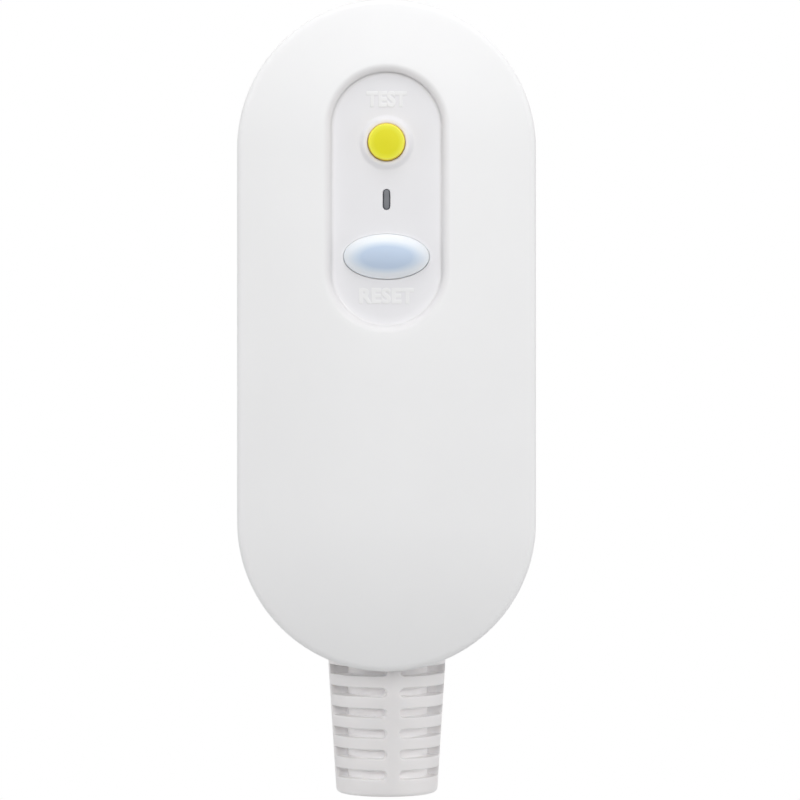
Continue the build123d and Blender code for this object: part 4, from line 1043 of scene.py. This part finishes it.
# %% Places on the outside and on the floor of the pockets
def cone_radius(z):
    """Radius of the sleeve's outside: straight above the wall, tapered below it."""
    share = np.clip((SLEEVE_WALL_Z - z) / (SLEEVE_WALL_Z - sleeve_low.z), 0, 1)
    return SLEEVE_TOP_RADIUS + (SLEEVE_END_RADIUS - SLEEVE_TOP_RADIUS) * share


def outside_angle(radius):
    """Angle from the front of every column: by x near the web, then evenly to the side."""
    radius = np.asarray(radius)[..., None]
    near = np.arcsin(near_x / radius)
    start = np.arcsin(SLOT_END_X / radius)
    fin_corner = np.arccos(HALF_FIN / radius)
    core = start + (FRONT_SPREAD - start) * core_share
    fin = FRONT_SPREAD + (fin_corner - FRONT_SPREAD) * fin_share
    rim = fin_corner + (np.pi / 2 - fin_corner) * rim_share
    return np.concatenate([near, core, fin, rim], -1)


def pocket_floor(radius):
    """Floor (x, front) of every column: round the core, then out along the fin's face."""
    core_corner = np.arccos(HALF_FIN / CORE_RADIUS)
    near = np.arcsin(near_x / CORE_RADIUS)
    turn = near[-1] + (core_corner - near[-1]) * core_share
    turn = np.concatenate([near, turn])
    core = np.stack([CORE_RADIUS * np.sin(turn), CORE_RADIUS * np.cos(turn)], -1)
    fin_end = np.sqrt(radius**2 - HALF_FIN**2)[:, None]
    fin_x = core[-1, 0] + (fin_end - core[-1, 0]) * fin_share
    fin = np.stack([fin_x, np.full(fin_x.shape, HALF_FIN)], -1)
    rim_turn = outside_angle(radius)[:, -RIM_COLUMNS:]
    rim = radius[:, None, None] * np.stack([np.sin(rim_turn), np.cos(rim_turn)], -1)
    core = np.broadcast_to(core, (len(radius), *core.shape))
    return np.concatenate([core, fin, rim], 1)


print("outside angle at the fin", np.degrees(outside_angle(SLEEVE_TOP_RADIUS))[-RIM_COLUMNS - 1])

# %% [markdown]
# A row near a slot has two settings. Its offset says how far it lies outside the slot's
# edge, and its depth how far below the sleeve's outside, or that it lies on the floor.
# Where the slot's round end leaves no room for a row, it is drawn in to the middle line
# and takes the depth that belongs to that distance from the edge.

# %% Rows of the slots and of the rest
SLOT_COUNT = 6
SLOT_PITCH = 3.65 * MM
FIRST_SLOT_DROP = 0.4 * MM
FLOOR_INSET = 0.35 * MM
LARGEST_SINK_SHARE = 0.45
mouth_turn = np.linspace(0, np.pi / 2, 5)
mouth_offset = SLOT_MOUTH * (1 - np.sin(mouth_turn))
mouth_depth = SLOT_MOUTH * (1 - np.cos(mouth_turn))
half_offset = np.concatenate([mouth_offset, [0, -FLOOR_INSET]])
half_depth = np.concatenate([mouth_depth, [np.nan, np.nan]])
ROW_OFFSET = np.concatenate([half_offset, [-HALF_SLOT], half_offset[::-1]])
ROW_DEPTH = np.concatenate([half_depth, [np.nan], half_depth[::-1]])
ROW_SIDE = np.concatenate([np.ones(len(half_offset)), [0], -np.ones(len(half_offset))])


def slot_grid(slot_z):
    """Quarter grid of one slot's rows: heights, depths below the outside, floor flags."""
    inward = SLOT_END_X - slot_x
    reach = HALF_SLOT + ROW_OFFSET[:, None]
    height = np.sqrt(np.maximum(reach**2 - inward**2, 0))
    drawn_in = reach <= inward
    z = slot_z + ROW_SIDE[:, None] * height
    middle_offset = np.clip(inward - HALF_SLOT, 0, SLOT_MOUTH)
    middle_depth = SLOT_MOUTH - np.sqrt(SLOT_MOUTH**2 - (SLOT_MOUTH - middle_offset) ** 2)
    depth = np.where(drawn_in, middle_depth, ROW_DEPTH[:, None])
    column = np.arange(QUARTER)
    on_floor = np.isnan(ROW_DEPTH)[:, None] & (column >= OUTSIDE)
    on_floor = on_floor | (drawn_in & (column >= OUTSIDE) & (ROW_OFFSET < 0)[:, None])
    return z, np.nan_to_num(depth), on_floor


def place_rows(z, depth, on_floor):
    """Quarter points: the outside lowered radially, or the pocket's floor."""
    radius = cone_radius(z)
    row_radius = cone_radius(z[:, -1])
    turn = np.take_along_axis(outside_angle(radius), np.arange(QUARTER)[None, :, None], 2)[..., 0]
    floor = pocket_floor(row_radius)
    edge = np.stack([radius * np.sin(turn), radius * np.cos(turn)], -1)
    height = np.linalg.norm(edge - floor, axis=-1)
    sink = np.minimum(depth, LARGEST_SINK_SHARE * height)
    outside = edge * ((radius - sink) / radius)[..., None]
    flat = np.where(on_floor[..., None], floor, outside)
    return np.concatenate([flat, z[..., None]], -1)


print("rows in a slot", len(ROW_OFFSET))

# %% [markdown]
# From the groove down, the quarter's side is a stack of bands: the rows of six slots,
# and two plain rows on each land between them, which follow the edges above and below.

# %% Side of the quarter, from the groove to the soft end
LAND_SHARES = np.array([1, 2]) / 3
GROOVE_LOW_Z = SLEEVE_WALL_Z + 6.65 * MM
END_CORNER = 0.65 * MM

first_slot_z = SLEEVE_WALL_Z - FIRST_SLOT_DROP
slots = [slot_grid(first_slot_z - index * SLOT_PITCH) for index in range(SLOT_COUNT)]
flat_row = np.zeros((1, QUARTER))
top_z = np.full((1, QUARTER), GROOVE_LOW_Z)
end_z = np.full((1, QUARTER), sleeve_low.z + END_CORNER)
bands = [(top_z, flat_row, flat_row > 0)]
lower_edges = [top_z] + [slot[0][-1:] for slot in slots]
upper_edges = [slot[0][:1] for slot in slots] + [end_z]
for index, (above, below) in enumerate(zip(lower_edges, upper_edges)):
    for share in LAND_SHARES:
        bands.append((above + (below - above) * share, flat_row, flat_row > 0))
    if index < SLOT_COUNT:
        bands.append(slots[index])
bands.append((end_z, flat_row, flat_row > 0))
side = place_rows(*[np.concatenate(part) for part in zip(*bands)])
print("rows in the side", len(side))

# %% [markdown]
# The sleeve's head inside the cover, its groove, the rounded end and the bore are plain
# round rows. With them the quarter is whole, and its mirror images close the ring. The
# photograph shows the web a little to the right of the middle, so the whole sleeve is
# turned by a few degrees in its hole.

# %% Whole sleeve from its quarter
GROOVE_RADIUS = 8.5 * MM
GROOVE_HIGH_Z = SLEEVE_WALL_Z + 9.15 * MM
BORE_RADIUS = 4.15 * MM
SLEEVE_TURN = np.radians(7)
CORNER_STEPS, CORNER_POWER = 6, 1.5


def round_row(radius, z):
    """Plain round row of a quarter at one height."""
    turn = outside_angle(np.array([SLEEVE_TOP_RADIUS]))[0]
    return np.stack([radius * np.sin(turn), radius * np.cos(turn), np.full(QUARTER, z)], -1)


end_radius = cone_radius(sleeve_low.z + END_CORNER)
corner_rows = []
for share in np.linspace(0, 1, CORNER_STEPS)[1:]:
    z = sleeve_low.z + END_CORNER * (1 - share) ** CORNER_POWER
    corner_rows.append(round_row(end_radius - END_CORNER * share**CORNER_POWER, z))
top_rows = [
    round_row(BORE_RADIUS, sleeve_high.z), round_row(SLEEVE_TOP_RADIUS, sleeve_high.z),
    round_row(SLEEVE_TOP_RADIUS, GROOVE_HIGH_Z), round_row(GROOVE_RADIUS, GROOVE_HIGH_Z),
    round_row(GROOVE_RADIUS, GROOVE_LOW_Z),
]
bore_rows = [round_row(BORE_RADIUS, sleeve_low.z), round_row(BORE_RADIUS, sleeve_high.z)]
quarter = np.concatenate([np.array(top_rows), side, np.array(corner_rows), np.array(bore_rows)])
ring = np.concatenate([
    quarter, (quarter * [1, -1, 1])[:, ::-1],
    quarter * [-1, -1, 1], (quarter * [-1, 1, 1])[:, ::-1],
], axis=1)
turned_x = ring[..., 0] * np.cos(SLEEVE_TURN) + ring[..., 1] * np.sin(SLEEVE_TURN)
turned_front = ring[..., 1] * np.cos(SLEEVE_TURN) - ring[..., 0] * np.sin(SLEEVE_TURN)
sleeve_points = np.stack([turned_x, -SLEEVE_DEPTH - turned_front, ring[..., 2]], -1)
print("sleeve grid", sleeve_points.shape[:2])

# %% [markdown]
# The sleeve's plastic is soft and a little translucent. Light enters the thin fins and
# comes back from the round core, so the core looks lighter than the outside. Some of it
# is true scattering below the surface. The rest is painted light: a ramp over how far a
# point lies from the axis, as a share of the tapered outside's radius at that height.

# %% Soft plastic of the sleeve
def soft_sleeve_plastic():
    """Soft plastic: painted lighter on the core, up to 0.80 of the radius, than from 0.94 outwards.
    """
    material, tree, shader = new_material("soft_sleeve_plastic", {
        "Subsurface Weight": 0.35,
        "Subsurface Radius": (1.0, 0.95, 0.9),
        "Subsurface Scale": 1.2 * MM,
    })
    radii, heights = (SLEEVE_END_RADIUS, SLEEVE_TOP_RADIUS), (sleeve_low.z, SLEEVE_WALL_Z)
    outside = remap(tree, axis_value(tree, "Z"), *radii, *heights)
    distance = distance_from(tree, (0, -SLEEVE_DEPTH, 0), (1, 1, 0))
    # The lighter first stop is painted light on the core; the second is the plastic's own colour.
    stops = [(0.80, (0.985, 0.97, 0.973)), (0.94, (0.80, 0.785, 0.787))]
    paint(tree, shader, math_node(tree, "DIVIDE", distance, outside), stops)
    grained(tree, shader, object_point(tree), 2600, height=6e-6, roughness=0.55, spread=0.05)
    return material


make_piece(
    "strain_relief_sleeve", [(sleeve_points, ring_faces(*sleeve_points.shape[:2]))],
    soft_sleeve_plastic(), "housing", ["strain_relief"], merge=1e-6, smooth_angle=38,
)

# %% [markdown]
# The other nodes keep their own meshes and only need a finish. Metal parts are brushed:
# one noise moves their roughness and colour a little and makes a bump. Stretching the
# noise along the blades draws the fine lines that rolled brass has.

# %% Metal
METAL_SPREAD = 0.08
METAL_DULL = 0.9


def metal(name, colour, roughness, stretch=(1, 1, 1)):
    """Metal with a brush pattern in its colour, roughness and bump."""
    material, tree, shader = new_material(name, {"Metallic": 1.0})
    point = object_point(tree, stretch=stretch)
    grain = grained(tree, shader, point, 3000, 2e-6, roughness, METAL_SPREAD, 3.0)
    paint(tree, shader, grain, [(0.3, tuple(c * METAL_DULL for c in colour)), (0.7, colour)])
    return material


brushed_brass = metal("brushed_brass", (0.80, 0.62, 0.32), 0.28, (1, 0.05, 1))
print("made", brushed_brass.name)

# %% [markdown]
# Hundreds of turns of thin enamelled wire lie on the trip coil and on the sensing ring.
# As meshes they would be heavy and hardly seen, so the finish draws them. A sine runs
# along the coil, or round the ring; its valleys are a little deeper and painted darker as
# shade between the wires, and its crests are painted lighter as a highlight.

# %% Windings
WIRE_PITCH = 0.22 * MM
RING_TURNS = 90
ring_low, ring_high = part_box("sensing_winding")
RING_AXIS_Y = (ring_low.y + ring_high.y) / 2


def wound_wire(name, value_of, turns):
    """Enamelled copper turns: a sine of the given value dips between the wires, with painted shade
    there.
    """
    material, tree, shader = new_material(name, {"Metallic": 0.85, "Roughness": 0.3})
    wave = math_node(tree, "SINE", math_node(tree, "MULTIPLY", value_of(tree), 2 * np.pi * turns))
    ridge = remap(tree, wave, 0, 1, -1, 1)
    # Dark stops are painted shade between the wires, and light stops are a painted highlight on
    # their crests.
    stops = [(0.1, (0.30, 0.10, 0.04)), (0.5, (0.66, 0.27, 0.11)), (0.9, (0.80, 0.38, 0.17))]
    paint(tree, shader, ridge, stops)
    bump(tree, ridge, 4e-5, shader)
    return material


def round_ring(tree):
    """Turn round the sensing ring's axis, from 0 to 1."""
    gradient = tree.nodes.new("ShaderNodeTexGradient")
    gradient.gradient_type = "RADIAL"
    tree.links.new(object_point(tree, (0, RING_AXIS_Y, 0)), gradient.inputs["Vector"])
    return gradient.outputs["Fac"]


node_finish = {
    "solenoid_winding": wound_wire(
        "coil_turns", lambda tree: axis_value(tree, "Z"), 1 / WIRE_PITCH
    ),
    "sensing_winding": wound_wire("ring_turns", round_ring, RING_TURNS),
}
print("wound", sorted(node_finish))

# %% [markdown]
# Three parts on the circuit board carry a pattern. The board is green lacquer over copper
# fields with thin gaps, the resistors have colour rings, and the capacitor's dark wrap
# leaves its aluminium end bare. Each pattern is looked up along an axis of the part.

# %% Circuit board, resistors and capacitor
FIELD_COLOURS = {
    "Color1": (0.02, 0.17, 0.06), "Color2": (0.03, 0.25, 0.09), "Mortar": (0.012, 0.09, 0.035),
}
FIELD_SIZES = {
    "Scale": 1.0, "Mortar Size": 0.2 * MM, "Brick Width": 6 * MM, "Row Height": 2.4 * MM,
}
RESISTOR_SPAN = (9.5 * MM, 15.5 * MM)
TAN, TIN, GOLD = (0.62, 0.45, 0.26), (0.70, 0.70, 0.68), (0.60, 0.42, 0.12)
BROWN, BLACK, RED = (0.16, 0.05, 0.02), (0.02, 0.02, 0.02), (0.55, 0.03, 0.02)
CAN_END = float(-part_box("filter_capacitor")[0].y - 0.45 * MM)


def printed_board():
    """Green lacquer over copper fields: bricks of two greens with thin bare gaps."""
    material, tree, shader = new_material("printed_board", {"Roughness": 0.3})
    flat = tree.nodes.new("ShaderNodeCombineXYZ")
    tree.links.new(axis_value(tree, "X"), flat.inputs["X"])
    tree.links.new(axis_value(tree, "Z"), flat.inputs["Y"])
    fields = tree.nodes.new("ShaderNodeTexBrick")
    for socket, colour in FIELD_COLOURS.items():
        fields.inputs[socket].default_value = (*colour, 1)
    for socket, value in FIELD_SIZES.items():
        fields.inputs[socket].default_value = value
    tree.links.new(flat.outputs["Vector"], fields.inputs["Vector"])
    tree.links.new(fields.outputs["Color"], shader.inputs["Base Color"])
    bump(tree, fields.outputs["Fac"], -3e-5, shader)
    return material


def banded_lacquer():
    """Tan lacquer with colour rings across each resistor, and tinned legs at its ends."""
    material, tree, shader = new_material("resistor_lacquer", {"Roughness": 0.35})
    along = remap(tree, math_node(tree, "ABSOLUTE", axis_value(tree, "X")), 0, 1, *RESISTOR_SPAN)
    starts = (0.0, 0.01, 0.16, 0.26, 0.36, 0.46, 0.56, 0.66, 0.78, 0.88, 0.99)
    colours = (TIN, TAN, BROWN, TAN, BLACK, TAN, RED, TAN, GOLD, TAN, TIN)
    paint(tree, shader, along, list(zip(starts, colours)), "CONSTANT")
    bump(tree, noise(tree, object_point(tree), 1200), 4e-6, shader)
    return material


def wrapped_can():
    """Capacitor: dark wrap on its side and a bare aluminium end towards the front."""
    material, tree, shader = new_material("capacitor_wrap", {"Roughness": 0.3})
    depth = math_node(tree, "MULTIPLY", axis_value(tree, "Y"), -1.0)
    front = math_node(tree, "GREATER_THAN", depth, CAN_END)
    paint(tree, shader, front, [(0.0, (0.03, 0.04, 0.13)), (1.0, (0.72, 0.72, 0.74))])
    tree.links.new(front, shader.inputs["Metallic"])
    bump(tree, noise(tree, object_point(tree), 1500), 3e-6, shader)
    return material


slot_finish = {
    "white_cover": cover_plastic, "brass": brushed_brass, "board_green": printed_board(),
    "resistor_tan": banded_lacquer(), "capacitor_sleeve": wrapped_can(),
}
print("made", sorted(slot_finish))

# %% [markdown]
# Everything else differs only in colour, roughness and grain, so two tables hold it. The
# record says which material slot each node has, and the slot's finish goes onto the
# node's own mesh. The nodes that have a new piece in their place are left out.

# %% A finish for every other node
# Name, colour and roughness of a metal; a plastic also has its grain, as the cover does.
METALS = {
    "silver_contact": ("silver_contact_metal", (0.85, 0.84, 0.80), 0.3),
    "zinc_steel": ("zinc_plated_steel", (0.66, 0.67, 0.68), 0.3),
    "spring_steel": ("spring_steel", (0.55, 0.55, 0.56), 0.25),
}
PLASTICS = {
    "black_moulding": ("black_moulding_plastic", (0.03, 0.03, 0.032), 0.4, 2500, 4e-6),
    "cream_moulding": ("cream_moulding_plastic", (0.70, 0.66, 0.55), 0.45, 2500, 4e-6),
    "dark_carrier": ("dark_carrier_plastic", (0.06, 0.055, 0.05), 0.45, 2500, 4e-6),
    "chip_black": ("chip_moulding", (0.025, 0.025, 0.027), 0.5, 2500, 4e-6),
    "varistor_blue": ("varistor_coat", (0.05, 0.14, 0.42), 0.35, 900, 8e-6),
    "lamp_clear": ("lamp_plastic", (0.75, 0.30, 0.28), 0.2, 1000, 1e-6),
    "ferrite": ("ferrite_core", (0.07, 0.07, 0.075), 0.6, 1800, 8e-6),
    "lead_brown": ("brown_lead_plastic", (0.19, 0.08, 0.03), 0.4, 1500, 3e-6),
    "lead_blue": ("blue_lead_plastic", (0.03, 0.16, 0.50), 0.4, 1500, 3e-6),
    "lead_green": ("green_lead_plastic", (0.10, 0.45, 0.06), 0.4, 1500, 3e-6),
}
REDRAWN = {
    "front_cover", "test_button", "reset_button", "indicator_lens", "strain_relief",
    "reset_spring", "carrier_springs", "plunger_spring", "test_leaf",
}

slot_finish |= {slot: metal(*finish) for slot, finish in METALS.items()}
slot_finish |= {slot: moulded_plastic(*finish) for slot, finish in PLASTICS.items()}
slot_of = {entry["node"]: entry["material_slot"] for entry in frame["record"]["subparts"]}
for node_name in sorted(set(nodes) - REDRAWN):
    finish = node_finish.get(node_name) or slot_finish[slot_of[node_name]]
    for material_slot in nodes[node_name].material_slots:
        material_slot.material = finish
print("finished nodes", len(nodes) - len(REDRAWN))

# %% [markdown]
# The imported springs are plain tubes. Here each is a coil of round wire in the same
# space: a tube carried along a helix whose first and last turns lie nearly closed. Four
# turns leave room between the wires at full travel.

# %% Coil springs
COIL_TURNS = 4
END_TURNS = 0.8
END_PITCH = 1.05
STATIONS_PER_TURN = 32
WIRE_SIDES = 10
RESET_WIRE, BREAK_WIRE, PLUNGER_WIRE = 0.6 * MM, 0.5 * MM, 0.4 * MM


def coil(foot, direction, radius, wire, length):
    """Tube round a helix: height grows slowly in the end turns, evenly between them."""
    foot, direction = np.array(foot), np.array(direction)
    side = np.array([1, 0, 0])
    across = np.cross(direction, side)
    turn = np.linspace(0, COIL_TURNS, STATIONS_PER_TURN * COIL_TURNS + 1)
    end_rise = END_PITCH * END_TURNS * wire
    places = [0, END_TURNS, COIL_TURNS - END_TURNS, COIL_TURNS]
    heights = [wire / 2, wire / 2 + end_rise, length - wire / 2 - end_rise, length - wire / 2]
    height = np.interp(turn, places, heights)[:, None]
    angle = 2 * np.pi * turn[:, None]
    outward = np.cos(angle) * side + np.sin(angle) * across
    centre = (foot + outward * (radius - wire / 2) + height * direction)[:, None]
    around = np.linspace(0, 2 * np.pi, WIRE_SIDES, endpoint=False)[:, None]
    section = np.cos(around) * outward[:, None] + np.sin(around) * direction
    rows = centre + wire / 2 * section
    first_end, last_end = [np.repeat(end, WIRE_SIDES, 1) for end in (centre[:1], centre[-1:])]
    rows = np.concatenate([first_end, rows, last_end])
    return rows, ring_faces(len(rows), WIRE_SIDES)


def spring_piece(name, node, surfaces):
    """Piece in place of a spring's node, not attached to any body."""
    piece = make_piece(name, surfaces, slot_finish[slot_of[node]], None, [node])
    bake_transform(piece)


low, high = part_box("reset_spring")
foot, tip = (0, high.y, RESET_Z), (0, low.y, RESET_Z)
reset_coil = coil(foot, (0, -1, 0), high.x, RESET_WIRE, high.y - low.y)
spring_piece("reset_coil_spring", "reset_spring", [reset_coil])

low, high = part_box("carrier_springs")
coil_z, coil_radius = (low.z + high.z) / 2, (high.z - low.z) / 2
break_coils = [
    coil((x, low.y, coil_z), (0, 1, 0), coil_radius, BREAK_WIRE, high.y - low.y)
    for x in (coil_radius - high.x, high.x - coil_radius)
]
foot, tip = (0, low.y, coil_z), (0, high.y, coil_z)
spring_piece("break_coil_springs", "carrier_springs", break_coils)

low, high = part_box("plunger_spring")
coil_y = (low.y + high.y) / 2
foot, tip = (0, coil_y, high.z), (0, coil_y, low.z)
plunger_coil = coil(foot, (0, 0, -1), high.x, PLUNGER_WIRE, high.z - low.z)
spring_piece("plunger_coil_spring", "plunger_spring", [plunger_coil])

# %% [markdown]
# The test button bends a flat leaf. The leaf is a strip with many stations along its
# length, and a block for its foot on the board.

# %% Leaf under the test button
LEAF_THICKNESS = 0.3 * MM
LEAF_FOOT = 2.2 * MM
LEAF_STATIONS = 25

low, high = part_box("test_leaf")
foot_top = low.z + LEAF_FOOT
station_z = np.concatenate([np.linspace(high.z, foot_top, LEAF_STATIONS), [foot_top, low.z]])
rear = np.where(np.arange(len(station_z)) < LEAF_STATIONS, low.y + LEAF_THICKNESS, high.y)
corners = [(low.x, 0), (high.x, 0), (high.x, 1), (low.x, 1)]
leaf_rows = np.stack([
    np.stack([np.full(len(station_z), x), low.y + back * (rear - low.y), station_z], -1)
    for x, back in corners
], 1)
first_end, last_end = [
    np.repeat(leaf_rows[at].mean(0)[None, None], len(corners), 1) for at in (0, -1)
]
leaf_rows = np.concatenate([first_end, leaf_rows, last_end])
leaf_faces = ring_faces(len(leaf_rows), len(corners))
spring_piece("test_spring_leaf", "test_leaf", [(leaf_rows, leaf_faces)])

# %% [markdown]
# The plug hangs in an even studio light over a pale floor. The world fills the shadows
# with a dim white. Rays from the camera, and rays that metal or clear plastic sends out,
# meet a plain white backdrop instead of that fill, so the background is white without
# any more light on the plug.

# %% World
FILL_STRENGTH = 0.26


def ray_mask(tree):
    """1 for camera, glossy and transmission rays, otherwise 0."""
    path = tree.nodes.new("ShaderNodeLightPath")
    mask = path.outputs["Is Camera Ray"]
    for kind in ("Is Glossy Ray", "Is Transmission Ray"):
        mask = math_node(tree, "MAXIMUM", mask, path.outputs[kind])
    return mask


world = bpy.data.worlds.new("studio_backdrop")
scene.world = world
world.use_nodes = True
tree = world.node_tree
fill, white = tree.nodes["Background"], tree.nodes.new("ShaderNodeBackground")
for background, strength in ((fill, FILL_STRENGTH), (white, 1.0)):
    background.inputs["Color"].default_value = (1, 1, 1, 1)
    background.inputs["Strength"].default_value = strength
mix = tree.nodes.new("ShaderNodeMixShader")
tree.links.new(ray_mask(tree), mix.inputs["Fac"])
tree.links.new(fill.outputs["Background"], mix.inputs[1])
tree.links.new(white.outputs["Background"], mix.inputs[2])
tree.links.new(mix.outputs["Shader"], tree.nodes["World Output"].inputs["Surface"])
scene.view_settings.view_transform = "Standard"
print("fill", FILL_STRENGTH)

# %% [markdown]
# A softbox in front, a little above the plug, gives the slow fall of brightness from the
# top of the cover to its foot and shines straight into the sleeve's slots. One hangs
# almost overhead and shades the recess under its rim. One at each side lights the edges,
# and one lights the rear cover. These three are large and strong, and a blade that
# mirrored one of them would be blown out to white, so glossy rays don't see them.

# %% Softboxes
# Place, side and power of each lamp.
SOFTBOXES = {
    "front_softbox": ((0.03, -0.38, 0.07), 0.24, 0.72),
    "top_softbox": ((0.00, -0.14, 0.36), 0.30, 0.84),
    "left_softbox": ((-0.90, -0.06, -0.03), 0.60, 2.9),
    "right_softbox": ((0.90, -0.06, -0.03), 0.60, 2.9),
    "rear_softbox": ((0.15, 0.80, 0.15), 0.60, 4.2),
}
MIRRORED = ("front_softbox", "top_softbox")
AIM = (0, -0.03, -0.035)


def softbox(name, place, side, power):
    """Square area lamp turned towards the plug."""
    data = bpy.data.lights.new(name, "AREA")
    data.shape = "SQUARE"
    data.size = side
    data.energy = power
    lamp = bpy.data.objects.new(name, data)
    lamp.location = place
    direction = Vector(AIM) - Vector(place)
    lamp.rotation_euler = direction.to_track_quat("-Z", "Y").to_euler()
    lamp.visible_glossy = name in MIRRORED
    scene.collection.objects.link(lamp)


for softbox_name, settings in SOFTBOXES.items():
    softbox(softbox_name, *settings)
print("lamps", sorted(SOFTBOXES))

# %% [markdown]
# The floor is a round sheet of matt pale paint, some way below the plug so that it throws
# little light back up. It could be a plane to the horizon, but then its far edge would
# cut the white backdrop. Here the paint turns clear towards the sheet's rim.

# %% Floor
FLOOR_Z = -260 * MM
FLOOR_FADE = (180 * MM, 320 * MM)
FLOOR_RINGS = np.array([0, 0.25, 0.5, 1.0])
FLOOR_COLUMNS = 96


def floor_paint():
    """Matt pale paint that turns clear towards the floor's rim."""
    material, tree, shader = new_material(
        "studio_floor_paint", {"Base Color": (0.82, 0.82, 0.82, 1), "Roughness": 0.8}
    )
    rim = distance_from(tree, (0, 0, 0), (1, 1, 0))
    tree.links.new(remap(tree, rim, 1, 0, *FLOOR_FADE), shader.inputs["Alpha"])
    return material


floor_turn = np.linspace(0, 2 * np.pi, FLOOR_COLUMNS, endpoint=False)
floor_radius = FLOOR_RINGS[:, None] * FLOOR_FADE[1]
floor_height = np.full((len(FLOOR_RINGS), FLOOR_COLUMNS), FLOOR_Z)
floor_points = np.stack([
    floor_radius * np.cos(floor_turn), floor_radius * np.sin(floor_turn), floor_height,
], -1).reshape(-1, 3)
floor_faces = ring_faces(len(FLOOR_RINGS), FLOOR_COLUMNS)
floor_mesh = bpy.data.meshes.new("studio_floor")
floor_mesh.from_pydata(floor_points.tolist(), [], floor_faces.tolist())
floor_mesh.materials.append(floor_paint())
studio_floor = bpy.data.objects.new("studio_floor", floor_mesh)
scene.collection.objects.link(studio_floor)
print("floor", len(floor_mesh.polygons), "faces")
